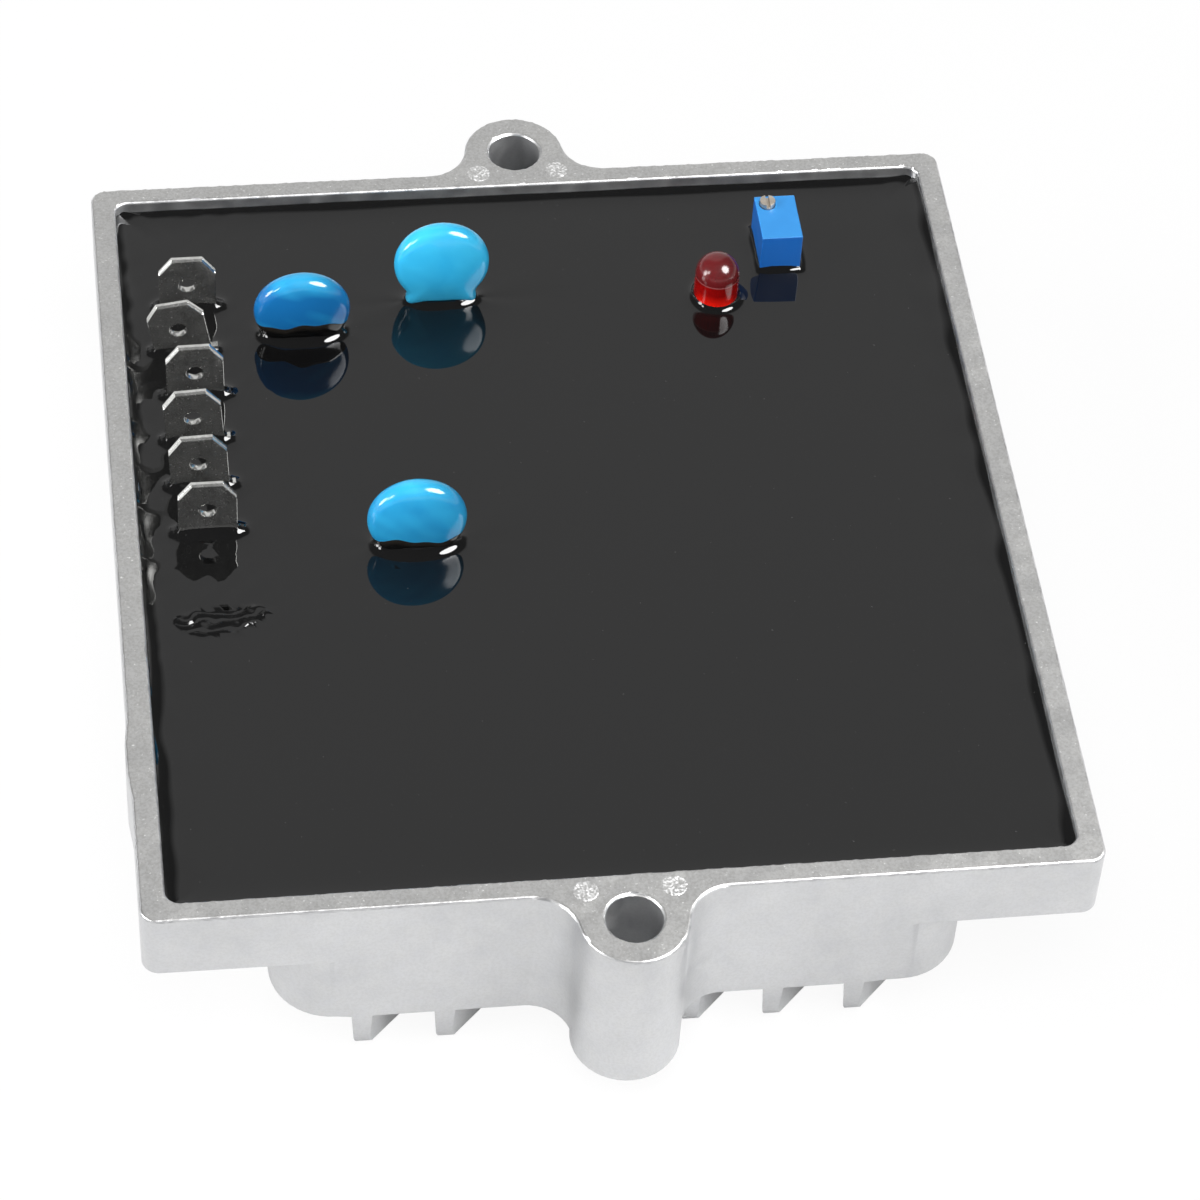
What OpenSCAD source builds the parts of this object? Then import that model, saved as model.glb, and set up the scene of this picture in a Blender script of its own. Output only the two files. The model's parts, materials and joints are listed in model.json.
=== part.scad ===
// Potted voltage regulator module: a die-cast finned tray that is filled with black resin.
// Millimetres, +Z up. The fin tips stand on z = 0 and the tray is centred on x = 0, y = 0.
// The six blade terminals stand along the left side, the status lamp and trimmer at the back right.

/* [Casting] */
// Width of the flange, side to side
plate_w = 98; // [92:0.5:108]
// Length of the flange, front wall to back wall, without the ears
plate_l = 105.8; // [102:0.2:116]
// Height of the flange, from its underside to the rim
flange_h = 8.5; // [8:0.1:11]
// Outer corner radius of the flange in plan
plate_corner_r = 1.8; // [1:0.1:3]
// Thickness of the rim along both sides
side_rim_t = 2.65; // [2:0.05:3.2]
// Thickness of the rim and wall at the front and the back
end_rim_t = 2.4; // [2:0.05:3.2]
// Corner radius of the recess inside the rim
recess_corner_r = 1.5; // [1:0.1:3]
// Thickness of the flange floor beside the deep box
ledge_t = 1.6; // [1.2:0.1:2.4]
// Width of the deep box under the flange
box_w = 72; // [70:0.5:76]
// Drop of the deep box below the flange
box_drop = 9.4; // [9:0.1:12]
// Thickness of the side walls of the deep box
box_wall_t = 2.8; // [2:0.1:3.5]
// Thickness of the floor of the deep box
box_floor_t = 3; // [2.6:0.1:3.6]
// Corner radius of the deep box in plan
box_corner_r = 6.5; // [4:0.5:9]
// How far the trimmed metal inlet stands out of the left wall
gate_proud = 0.35; // [0.1:0.05:0.8]
// Length of the trimmed metal inlet along the left wall
gate_l = 11; // [6:0.5:16]
// Centre of the metal inlet, in front of the middle of the tray
gate_y = 31.5; // [20:0.5:40]

/* [Cooling fins] */
// Height of the fins under the deep box
fin_h = 5.1; // [4:0.1:8]
// Distance from one fin to the next, square to the fins
fin_pitch = 6.03; // [5:0.01:8]
// Thickness of a fin at its tip
fin_tip_t = 1.05; // [0.8:0.05:1.4]
// Thickness of a fin at its root
fin_root_t = 1.6; // [1.4:0.05:2.2]
// Angle of the fins to the front wall in plan
fin_angle = 45; // [30:1:60]
// Shift of the middle fin from the centre, square to the fins
fin_shift = 0.35; // [0:0.05:1]
// Radius that the fins keep clear around each corner of the deep box
fin_relief_r = 7.5; // [6.5:0.1:9]
// How far the fins stay inside the side walls of the deep box
fin_side_gap = 1.5; // [0.5:0.1:4]
// Radius of the round clearing that ends one fin short of each ear
ear_relief_r = 4.7; // [3:0.1:5]
// Distance of that clearing's centre from the line through both ears
ear_relief_x = 8.5; // [6:0.1:11]
// How far that clearing's centre lies inside the end wall
ear_relief_in = 1.3; // [0:0.1:3]

/* [Ears] */
// Distance of the mounting holes outside the front and back walls
ear_reach = 3.3; // [3.3:0.1:5]
// Diameter of the mounting holes
ear_hole_d = 5.9; // [5:0.1:6.5]
// Radius of the ear around its hole
ear_r = 5.7; // [5.4:0.1:7]
// Radius of the hollow fillets between an ear and the wall
ear_fillet_r = 4.6; // [4:0.1:6]
// Height of the underside of the ears above the fin tips
ear_lift = 2.8; // [1:0.1:4]
// Rounding of the lower edge of the ears
ear_edge_r = 0.6; // [0.3:0.1:1]

/* [Resin and board] */
// Depth of the resin surface below the rim
resin_drop = 2; // [1.5:0.1:2.4]
// Thickness of the circuit board
board_t = 1.6; // [1.2:0.1:1.8]
// Gap between the edge of the board and the walls
board_gap = 0.35; // [0.2:0.05:0.8]
// Height of the pads that carry the board on the flange floor
pad_h = 1.8; // [1.6:0.1:2]
// Width of the pads, from the wall inwards
pad_w = 2.5; // [1.5:0.1:3]
// Length of the pads along the wall
pad_l = 8; // [5:0.5:12]
// Distance of the end pads from the front and back walls
pad_inset = 3; // [2:0.5:6]
// Distance of the middle pads in front of the middle of the tray
mid_pad_y = 10; // [8:0.5:20]
// Diameter of the holes that let the resin flow under the board
flow_hole_d = 5; // [3:0.5:6]
// How far cut leads stand out below or above the board
lead_stub = 0.8; // [0.5:0.1:1]

/* [Blade terminals] */
// Number of blade terminals
terminal_n = 6; // [6:1:6]
// Distance from one terminal to the next
terminal_pitch = 6.85; // [6.5:0.05:7]
// Distance of the terminal row from the left side of the flange
terminal_inset = 9.9; // [9.5:0.1:11]
// Distance of the frontmost terminal behind the middle of the tray
terminal_front_y = 1; // [0:0.5:4]
// Width of a blade
blade_w = 6.3; // [4.8:0.1:6.3]
// Thickness of a blade
blade_t = 0.8; // [0.5:0.1:1]
// Height of a blade above the board
blade_h = 9.1; // [8:0.1:11]
// Width that each chamfer takes off the tip
blade_chamfer_w = 1.42; // [0.8:0.02:1.6]
// Height of the chamfers at the tip
blade_chamfer_h = 1.95; // [1:0.05:2.2]
// Diameter of the latching hole
blade_hole_d = 1.9; // [1.4:0.1:2.2]
// Distance of the latching hole from the tip
blade_hole_drop = 3.85; // [3:0.05:4.5]
// How far each shoulder stands out beside the blade
shoulder_w = 0.7; // [0.4:0.05:1]
// Height of the top of the shoulders above the board
shoulder_top = 1.85; // [1.6:0.05:2.2]
// Height of the shoulders
shoulder_h = 0.95; // [0.6:0.05:1]
// Distance between the two legs of a terminal
leg_pitch = 5.08; // [4:0.02:5.1]
// Width of a leg
leg_w = 1.2; // [0.8:0.1:1.2]

/* [Disc capacitors] */
// Diameter of the discs
disc_d = 10.7; // [9:0.1:11.5]
// Thickness of a disc at its middle
disc_t = 4.1; // [3.5:0.1:5]
// Radius of the rounded rim of a disc
disc_rim_r = 1.4; // [1:0.05:1.6]
// Distance between the two leads of a disc
disc_lead_pitch = 7; // [5:0.1:7.5]
// Diameter of the leads
disc_lead_d = 0.6; // [0.5:0.05:0.8]
// Radius of the coating skirt where a lead leaves the disc
skirt_r = 1.1; // [0.8:0.05:1.3]
// How far the skirts reach below the disc
skirt_drop = 0.25; // [0.1:0.05:0.3]

/* [Status lamp] */
// Diameter of the lens
lamp_d = 5; // [3:0.1:5]
// Height of the lens above the board
lamp_h = 7.64; // [7:0.02:8.6]
// Width of the collar at the foot of the lens, beside the lens
lamp_collar = 0.4; // [0.2:0.05:0.5]
// Height of the collar
lamp_collar_h = 1; // [0.8:0.1:1.2]
// Distance between the two legs of the lamp
lamp_leg_pitch = 2.54; // [2.5:0.01:2.6]
// Width of a square leg
lamp_leg_w = 0.5; // [0.4:0.05:0.6]
// Distance of the lamp from the right side of the flange
lamp_inset_x = 28.5; // [26:0.5:32]
// Distance of the lamp from the outside of the back wall
lamp_inset_y = 20.1; // [17:0.1:26]

/* [Trimmer] */
// Width of the trimmer, across the tray
trimmer_w = 4.65; // [4.4:0.05:5]
// Length of the trimmer, front to back
trimmer_l = 6.95; // [6.5:0.05:7.5]
// Height of the trimmer above the board
trimmer_h = 6.65; // [6:0.05:7.5]
// Distance of the trimmer's middle from the right side of the flange
trimmer_inset_x = 20.6; // [19:0.1:22]
// Distance of the trimmer's middle from the outside of the back wall
trimmer_inset_y = 13; // [11:0.1:14]
// Diameter of the adjusting screw
screw_d = 1.77; // [1.4:0.01:1.8]
// How far the adjusting screw stands out of the case
screw_proud = 0.6; // [0.4:0.05:1]
// Distance of the screw from the left side of the case
screw_inset_x = 1.35; // [1.3:0.05:1.8]
// Distance of the screw from the back of the case
screw_inset_y = 1.3; // [1.25:0.05:1.8]
// Depth that the adjusting screw reaches into the case
screw_reach = 4.6; // [3:0.1:5]
// Running clearance of the adjusting screw, all round
screw_clear = 0.05; // [0.02:0.01:0.08]
// Width of the screwdriver slot
slot_w = 0.38; // [0.25:0.01:0.5]
// Depth of the screwdriver slot
slot_depth = 0.45; // [0.3:0.05:0.5]
// Depth of the neck that keeps the screw in its case, below the top of the case
neck_drop = 1.2; // [0.8:0.1:1.5]
// Height of the neck
neck_h = 0.6; // [0.4:0.05:0.8]
// Depth of the neck groove in the screw
neck_cut = 0.28; // [0.2:0.01:0.35]
// Diameter of the trimmer's pins
pin_d = 0.5; // [0.4:0.05:0.6]
// Distance from one pin to the next
pin_pitch = 2.54; // [2.5:0.01:2.6]

/* [Power devices] */
// Width of a power device
device_w = 10.2; // [9.8:0.1:10.6]
// Length of the metal plate of a power device
device_plate_l = 15.5; // [15:0.1:16]
// Thickness of the metal plate
device_plate_t = 1.3; // [1.2:0.05:1.4]
// Gap between the head of a fixing screw and the moulded body
device_head_gap = 0.7; // [0.4:0.1:1.2]
// Height of the moulded body above the plate
device_body_h = 3.1; // [2.8:0.1:3.2]
// Diameter of the fixing hole in the plate
device_hole_d = 3.7; // [3.5:0.05:3.9]
// Distance of the fixing hole from the end of the plate
device_hole_inset = 2.8; // [2.6:0.05:3]
// Thickness of the insulating pads
pad_sheet_t = 0.25; // [0.2:0.05:0.4]
// How far an insulating pad stands out around its plate
pad_sheet_edge = 1; // [0.5:0.1:1.5]
// Distance of the power devices from the middle of the tray, sideways
device_x = 14; // [12:0.5:20]
// Distance of the power devices in front of the middle of the tray
device_y = 22; // [20:0.5:26]
// Diameter of the fixing screws
fixing_d = 3; // [2.5:0.1:3]
// Diameter of the heads of the fixing screws
fixing_head_d = 5.6; // [5:0.1:6]
// Height of the heads of the fixing screws
fixing_head_h = 2; // [1.6:0.1:2.4]
// Depth that the fixing screws reach into the floor
fixing_reach = 2.2; // [1.6:0.1:2.4]
// Thickness of the flange of the insulating bushes
bush_flange_t = 0.7; // [0.5:0.1:0.9]

/* [Small parts under the board] */
// Diameter of the leads of the small parts
wire_d = 0.6; // [0.5:0.05:0.8]
// Diameter of the storage capacitor
can_d = 8; // [6.3:0.1:8.2]
// Length of the storage capacitor
can_l = 12; // [10:0.5:14]
// Width of the film capacitor
film_w = 13; // [10:0.5:14]
// Thickness of the film capacitor
film_t = 5; // [4:0.1:6]
// Height of the film capacitor
film_h = 8; // [6:0.1:8.5]
// Diameter of the power resistor
power_d = 6.4; // [5:0.1:7]
// Length of the power resistor
power_l = 18; // [14:0.5:20]
// Length of the comparator chip
chip_l = 19.2; // [18:0.1:20]
// Width of the comparator chip
chip_w = 6.4; // [6:0.1:6.6]
// Height of the comparator chip
chip_h = 3.3; // [3:0.1:3.6]
// Number of pins along one side of the chip
chip_side_n = 7; // [4:1:7]
// Number of small resistors
resistor_n = 6; // [2:1:6]
// Diameter of a small resistor
resistor_d = 2.3; // [1.8:0.1:2.5]
// Length of a small resistor
resistor_l = 6.3; // [5:0.1:6.5]
// Number of rectifier diodes
rectifier_n = 4; // [2:1:4]
// Diameter of a rectifier diode
rectifier_d = 2.7; // [2:0.1:3]
// Length of a rectifier diode
rectifier_l = 5.2; // [4:0.1:5.5]
// Distance between the legs of the small resistors and diodes
axial_span = 10.16; // [9.6:0.02:10.5]
// Distance of the frontmost small part from the front wall
front_row_gap = 4.5; // [3:0.5:8]
// Distance of the storage capacitor's axis from the back wall
can_back_gap = 14.5; // [12:0.5:20]
// Distance of the small resistors, diodes and film capacitor from the side walls of the deep box
side_part_gap = 13.2; // [12:0.1:15]
// Distance of the power resistor's middle from the left wall of the deep box
power_side_gap = 15.2; // [14:0.1:18]

/* [Hidden] */
$fn = 64;
// A little extra length, so that cuts run right through a face
over = 1;

// Heights above the fin tips
box_bottom_z = fin_h;
box_floor_z = box_bottom_z + box_floor_t;
flange_z = box_bottom_z + box_drop;
ledge_z = flange_z + ledge_t;
rim_z = flange_z + flange_h;
resin_z = rim_z - resin_drop;
board_z = ledge_z + pad_h;
board_top = board_z + board_t;
stub_bottom = board_z - lead_stub;
stub_top = board_top + lead_stub;

// Inner spaces of the casting in plan
recess_w = plate_w - 2 * side_rim_t;
recess_l = plate_l - 2 * end_rim_t;
well_w = box_w - 2 * box_wall_t;
well_corner_r = box_corner_r - end_rim_t;
board_w = recess_w - 2 * board_gap;
board_l = recess_l - 2 * board_gap;
end_pad_y = recess_l / 2 - pad_inset - pad_l / 2;
pad_ys = [end_pad_y, -mid_pad_y, -end_pad_y];

// Distance between the two mounting holes
ear_spacing = plate_l + 2 * ear_reach;

// Hollow fillet beside each ear: centre and the point where it meets the ear
fillet_dy = ear_fillet_r - ear_reach;
fillet_x = sqrt(pow(ear_r + ear_fillet_r, 2) - pow(fillet_dy, 2));
meet_x = fillet_x * ear_r / (ear_r + ear_fillet_r);
ear_relief_y = plate_l / 2 - ear_relief_in;
meet_y = ear_reach + fillet_dy * ear_r / (ear_r + ear_fillet_r);

// Terminals, from the back (1) to the front (6): how each one leans and is set off its line
terminal_x = -plate_w / 2 + terminal_inset;
terminal_lean = [0, -9, -1, -3.5, -2.5, 0];
terminal_off = [0.1, -0.5, 0.2, -0.2, -0.1, 0.2];

// Discs: the left and back ones are placed from the back wall, the front one from the middle
left_disc_x = -26.6;
left_disc_back = 23;
back_disc_x = -10.6;
back_disc_back = 18.3;
front_disc_x = -16.8;
front_disc_y = -2.5;
disc_place = [
    [left_disc_x, plate_l / 2 - left_disc_back],
    [back_disc_x, plate_l / 2 - back_disc_back],
    [front_disc_x, front_disc_y]
];

// Discs: gap between board and disc, and lean to the back in degrees
disc_lift = [0.3, 1.85, 0.3];
disc_lean = [-4, 4, 1];
disc_r = disc_d / 2;
crown_r = (pow(disc_r - disc_rim_r, 2) + pow(disc_t / 2, 2) - pow(disc_rim_r, 2))
    / (disc_t - 2 * disc_rim_r);
crown_x = (disc_r - disc_rim_r) * crown_r / (crown_r - disc_rim_r);

lamp_x = plate_w / 2 - lamp_inset_x;
lamp_y = plate_l / 2 - lamp_inset_y;
trimmer_x = plate_w / 2 - trimmer_inset_x;
trimmer_y = plate_l / 2 - trimmer_inset_y;
trimmer_top = board_top + trimmer_h;
screw_x = trimmer_x - trimmer_w / 2 + screw_inset_x;
screw_y = trimmer_y + trimmer_l / 2 - screw_inset_y;

// Power devices: the thyristor is on the left and the freewheel diode on the right
plate_bottom = box_floor_z + pad_sheet_t;
plate_top = plate_bottom + device_plate_t;
device_hole_y = -device_plate_l / 2 + device_hole_inset;
device_body_l = device_plate_l - device_hole_inset - fixing_head_d / 2 - device_head_gap;
device_leg_rise = 1;
device_leg_z = plate_top + device_leg_rise;
device_leg_out = 2.2;
device_leg_w = 0.8;
device_leg_t = 0.5;

// Places of the small parts under the board
front_row_y = -recess_l / 2 + front_row_gap;
flow_hole_y = 15;
flow_hole_step = 8;
flow_holes = [[0, flow_hole_y], [0, front_row_y + flow_hole_step]];
can_x = 2;
can_place = [can_x, recess_l / 2 - can_back_gap];
can_lead_pitch = 3.5;
can_lead_out = 2;
film_y = 10;
film_place = [well_w / 2 - side_part_gap, film_y];
film_lead_pitch = 10;
power_y = 12;
power_place = [-well_w / 2 + power_side_gap, power_y];
power_lead_span = 23;
chip_x = 8;
chip_y = -3;
chip_place = [chip_x, chip_y];
chip_pin_pitch = 2.54;
chip_row_span = 7.62;
chip_pin_w = 0.5;
chip_pin_t = 0.25;
resistor_place = [well_w / 2 - side_part_gap, front_row_y];
resistor_step = 3;
rectifier_place = [-well_w / 2 + side_part_gap, front_row_y];
rectifier_step = 4;

// Rectangle with round corners, centred
module rounded_rect(w, l, r) {
    square([w - 2 * r, l], center = true);
    square([w, l - 2 * r], center = true);
    for (sx = [-1, 1], sy = [-1, 1])
        translate([sx * (w / 2 - r), sy * (l / 2 - r)]) circle(r = r);
}

// Standing round bar from one height to another
module post(x, y, d, z0, z1) {
    translate([x, y, z0]) cylinder(d = d, h = z1 - z0, $fn = 48);
}

// Standing rectangular bar from one height to another
module bar(x, y, w, t, z0, z1) {
    translate([x - w / 2, y - t / 2, z0]) cube([w, t, z1 - z0]);
}

// Lying round bar along x
module lying(x, y, z, d, l) {
    translate([x - l / 2, y, z]) rotate([0, 90, 0]) cylinder(d = d, h = l, $fn = 48);
}

// Ears with their hollow fillets, drawn for the back wall; the front one is its mirror image
module ear() {
    translate([0, ear_spacing / 2, 0])
        rotate_extrude() {
            translate([0, ear_lift]) square([ear_r - ear_edge_r, rim_z - ear_lift]);
            translate([0, ear_lift + ear_edge_r]) square([ear_r, rim_z - ear_lift - ear_edge_r]);
            translate([ear_r - ear_edge_r, ear_lift + ear_edge_r]) circle(r = ear_edge_r);
        }
    translate([0, plate_l / 2, box_bottom_z])
        linear_extrude(rim_z - box_bottom_z)
            difference() {
                polygon([[-fillet_x, -over], [fillet_x, -over], [fillet_x, 0], [meet_x, meet_y],
                         [-meet_x, meet_y], [-fillet_x, 0]]);
                for (s = [-1, 1])
                    translate([s * fillet_x, ear_fillet_r]) circle(r = ear_fillet_r);
            }
}

// Slanted cooling fins under the deep box, clear of its corners, its sides and one fillet of each ear
module fins() {
    reach = norm([box_w, plate_l]) / 2;
    count = floor(reach / fin_pitch);
    root_z = fin_h + box_floor_t / 2;
    intersection() {
        linear_extrude(root_z)
            difference() {
                rounded_rect(box_w - 2 * fin_side_gap, plate_l, box_corner_r);
                for (sx = [-1, 1], sy = [-1, 1])
                    translate([sx * box_w / 2, sy * plate_l / 2]) circle(r = fin_relief_r);
                for (s = [-1, 1])
                    translate([s * ear_relief_x, s * ear_relief_y]) circle(r = ear_relief_r);
            }
        for (k = [-count:count])
            rotate([0, 0, fin_angle])
                translate([-reach, -(k * fin_pitch + fin_shift), 0])
                    rotate([90, 0, 90])
                        linear_extrude(2 * reach)
                            polygon([[-fin_tip_t / 2, 0], [fin_tip_t / 2, 0],
                                     [fin_root_t / 2, root_z], [-fin_root_t / 2, root_z]]);
    }
}

// Trimmed metal inlet: a low flat swelling on the left wall of the flange
module gate() {
    translate([-plate_w / 2 - gate_proud, -gate_y - gate_l / 2, flange_z])
        cube([gate_proud + side_rim_t / 2, gate_l, flange_h]);
}

// Space inside the casting up to a height: the shallow recess and the deep well
module tray_space(top_z) {
    translate([0, 0, ledge_z])
        linear_extrude(top_z - ledge_z) rounded_rect(recess_w, recess_l, recess_corner_r);
    translate([0, 0, box_floor_z])
        linear_extrude(ledge_z - box_floor_z + over) rounded_rect(well_w, recess_l, well_corner_r);
}

// Pads on the flange floor that carry the board along both sides
module board_pads() {
    for (s = [-1, 1], y = pad_ys)
        translate([s > 0 ? recess_w / 2 - pad_w : -recess_w / 2, y - pad_l / 2, ledge_z])
            cube([pad_w, pad_l, pad_h]);
}

module housing() {
    color("gainsboro") {
        difference() {
            union() {
                translate([0, 0, flange_z])
                    linear_extrude(flange_h) rounded_rect(plate_w, plate_l, plate_corner_r);
                translate([0, 0, box_bottom_z])
                    linear_extrude(box_drop) rounded_rect(box_w, plate_l, box_corner_r);
                ear();
                mirror([0, 1, 0]) ear();
                fins();
                gate();
            }
            tray_space(rim_z + over);
            for (s = [-1, 1])
                post(0, s * ear_spacing / 2, ear_hole_d, -over, rim_z + over);
            for (s = [-1, 1])
                post(s * device_x, -device_y + device_hole_y, fixing_d,
                     box_floor_z - fixing_reach, box_floor_z + over);
        }
        board_pads();
    }
}

// Board without the holes for the parts: it is what the resin flows around
module board_blank() {
    translate([0, 0, board_z])
        linear_extrude(board_t)
            difference() {
                rounded_rect(board_w, board_l, recess_corner_r);
                for (p = flow_holes)
                    translate(p) circle(d = flow_hole_d, $fn = 32);
            }
}

module circuit_board() {
    color("darkgreen")
        difference() {
            board_blank();
            for (i = [0:terminal_n - 1]) terminal(i);
            for (i = [0:2]) disc_leads(i);
            lamp_lead_frame();
            trimmer_pins();
            hidden_leads();
        }
}

// Everything with leads through the board that sits below it
module hidden_leads() {
    thyristor_lead_frame();
    diode_lead_frame();
    comparator_pins();
    storage_capacitor_leads();
    film_capacitor_leads();
    power_resistor_leads();
    small_resistor_leads();
    rectifier_leads();
}

// Resin: the tray up to the fill line, less everything that is cast into it
module potting_resin() {
    color([0.04, 0.04, 0.045])
        difference() {
            tray_space(resin_z);
            board_pads();
            board_blank();
            for (i = [0:terminal_n - 1]) terminal(i);
            for (i = [0:2]) {
                disc_leads(i);
                disc_capacitor(i);
            }
            lamp_lens();
            lamp_lead_frame();
            trimmer_block();
            trimmer_pins();
            hidden_leads();
            thyristor_body();
            diode_body();
            insulating_pads();
            insulating_bushes();
            fixing_screws();
            comparator_chip();
            storage_capacitor();
            film_capacitor();
            power_resistor();
            small_resistors();
            rectifier_diodes();
        }
}

// Stamped blade terminal: two legs in the board, a bridge, then shoulders and blade that may lean
module terminal(i) {
    y = terminal_front_y + (terminal_n - 1 - i) * terminal_pitch;
    flat = blade_w / 2 - blade_chamfer_w;
    lower = shoulder_top - shoulder_h;
    color("silver")
        translate([terminal_x + terminal_off[i], y, board_top])
            rotate([90, 0, 0])
                linear_extrude(blade_t, center = true)
                    difference() {
                        union() {
                            for (s = [-1, 1])
                                translate([s * leg_pitch / 2 - leg_w / 2, -board_t - lead_stub])
                                    square([leg_w, board_t + lead_stub + lower / 2]);
                            translate([-blade_w / 2, 0]) square([blade_w, shoulder_top - shoulder_h / 2]);
                            rotate(-terminal_lean[i]) {
                                translate([-blade_w / 2 - shoulder_w, lower])
                                    square([blade_w + 2 * shoulder_w, shoulder_h]);
                                polygon([[-blade_w / 2, lower], [blade_w / 2, lower],
                                         [blade_w / 2, blade_h - blade_chamfer_h], [flat, blade_h],
                                         [-flat, blade_h], [-blade_w / 2, blade_h - blade_chamfer_h]]);
                            }
                        }
                        rotate(-terminal_lean[i])
                            translate([0, blade_h - blade_hole_drop]) circle(d = blade_hole_d);
                    }
}

// Height of a disc's centre, and where its leads go down behind or in front of that centre
function disc_z(i) = board_top + disc_lift[i] + disc_r;
function disc_lead_y(i) = disc_place[i][1] - (disc_r - disc_rim_r) * sin(disc_lean[i]);

module disc_leads(i) {
    color("silver")
        for (s = [-1, 1])
            post(disc_place[i][0] + s * disc_lead_pitch / 2, disc_lead_y(i), disc_lead_d,
                 stub_bottom, disc_z(i) - disc_r / 2);
}

// Dipped ceramic disc: crowned faces, round rim, and a skirt of coating around each lead
module disc_capacitor(i) {
    skirt_h = disc_r / 2 + skirt_drop;
    color("deepskyblue")
        difference() {
            union() {
                translate([disc_place[i][0], disc_place[i][1], disc_z(i)])
                    rotate([90 - disc_lean[i], 0, 0])
                        rotate_extrude() disc_profile();
                for (s = [-1, 1])
                    translate([disc_place[i][0] + s * disc_lead_pitch / 2, disc_lead_y(i),
                               disc_z(i) - disc_r - skirt_drop])
                        cylinder(r1 = skirt_r * 0.6, r2 = skirt_r, h = skirt_h, $fn = 48);
            }
            disc_leads(i);
        }
}

// Half section of a disc: the two crowns meet the round rim without a corner
module disc_profile() {
    intersection() {
        translate([0, disc_t / 2 - crown_r]) circle(r = crown_r, $fn = 128);
        translate([0, crown_r - disc_t / 2]) circle(r = crown_r, $fn = 128);
        translate([0, -disc_t]) square([crown_x, 2 * disc_t]);
    }
    translate([disc_r - disc_rim_r, 0]) circle(r = disc_rim_r, $fn = 48);
}

// Domed lens with a collar that sits on the board
module lamp_lens() {
    dome_z = lamp_h - lamp_d / 2;
    color([0.75, 0.03, 0.03])
        difference() {
            translate([lamp_x, lamp_y, board_top]) {
                cylinder(d = lamp_d + 2 * lamp_collar, h = lamp_collar_h);
                cylinder(d = lamp_d, h = dome_z);
                translate([0, 0, dome_z]) sphere(d = lamp_d);
            }
            lamp_lead_frame();
        }
}

// Two legs, one with the cup that holds the light chip
module lamp_lead_frame() {
    cup_z = board_top + 0.38 * lamp_h;
    color("silver") {
        for (s = [-1, 1])
            bar(lamp_x + s * lamp_leg_pitch / 2, lamp_y, lamp_leg_w, lamp_leg_w, stub_bottom, cup_z);
        translate([lamp_x - lamp_leg_pitch / 2 - lamp_leg_w / 2, lamp_y - lamp_leg_w, cup_z - lamp_leg_w])
            cube([lamp_leg_pitch * 0.7, 2 * lamp_leg_w, 2 * lamp_leg_w]);
    }
}

// Block of the trimmer without its bore
module trimmer_block() {
    bar(trimmer_x, trimmer_y, trimmer_w, trimmer_l, board_top, trimmer_top);
}

// Trimmer case with the bore for its adjusting screw and the ring that keeps the screw in
module trimmer_case() {
    bore_d = screw_d + 2 * screw_clear;
    ring_d = bore_d - 2 * neck_cut;
    ring_top = trimmer_top - neck_drop - screw_clear;
    ring_bottom = trimmer_top - neck_drop - neck_h + screw_clear;
    color("dodgerblue")
        difference() {
            trimmer_block();
            post(screw_x, screw_y, bore_d, ring_top, trimmer_top + over);
            post(screw_x, screw_y, ring_d, ring_bottom - over / 2, ring_top + over / 2);
            post(screw_x, screw_y, bore_d, trimmer_top - screw_reach - screw_clear, ring_bottom);
        }
}

module trimmer_pins() {
    color("silver")
        for (k = [-1:1])
            post(trimmer_x, trimmer_y + k * pin_pitch, pin_d, stub_bottom, board_top);
}

// Slotted adjusting screw; a necked groove runs around the ring in the case
module trimmer_screw() {
    neck_d = screw_d - 2 * neck_cut;
    color("tan")
        difference() {
            union() {
                post(screw_x, screw_y, screw_d, trimmer_top - neck_drop, trimmer_top + screw_proud);
                post(screw_x, screw_y, neck_d, trimmer_top - neck_drop - neck_h,
                     trimmer_top - neck_drop);
                post(screw_x, screw_y, screw_d, trimmer_top - screw_reach,
                     trimmer_top - neck_drop - neck_h);
            }
            bar(screw_x, screw_y, slot_w, 2 * screw_d, trimmer_top + screw_proud - slot_depth,
                trimmer_top + screw_proud + over);
        }
}

// Metal plate of a power device, with its legs bent up into the board
module device_lead_frame(x, legs) {
    translate([x, -device_y, 0]) {
        difference() {
            bar(0, 0, device_w, device_plate_l, plate_bottom, plate_top);
            post(0, device_hole_y, device_hole_d, plate_bottom - over, plate_top + over);
        }
        for (k = legs)
            translate([k * chip_pin_pitch - device_leg_w / 2, device_plate_l / 2 - device_leg_t, 0]) {
                translate([0, 0, device_leg_z])
                    cube([device_leg_w, device_leg_out + device_leg_t, device_leg_t]);
                translate([0, device_leg_out, device_leg_z])
                    cube([device_leg_w, device_leg_t, stub_top - device_leg_z]);
            }
    }
}

// Moulded body of a power device, on its plate
module device_body(x) {
    bar(x, -device_y + (device_plate_l - device_body_l) / 2, device_w, device_body_l,
        plate_top, plate_top + device_body_h);
}

module thyristor_lead_frame() {
    color("silver") device_lead_frame(-device_x, [-1, 0, 1]);
}

module thyristor_body() {
    color("dimgray")
        difference() {
            device_body(-device_x);
            thyristor_lead_frame();
        }
}

module diode_lead_frame() {
    color("silver") device_lead_frame(device_x, [-1, 1]);
}

module diode_body() {
    color("dimgray")
        difference() {
            device_body(device_x);
            diode_lead_frame();
        }
}

// Soft sheets between the power devices and the floor of the tray
module insulating_pads() {
    color("lightgray")
        for (s = [-1, 1])
            difference() {
                bar(s * device_x, -device_y, device_w + 2 * pad_sheet_edge,
                    device_plate_l + 2 * pad_sheet_edge, box_floor_z, plate_bottom);
                post(s * device_x, -device_y + device_hole_y, fixing_d,
                     box_floor_z - over, plate_bottom + over);
            }
}

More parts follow.
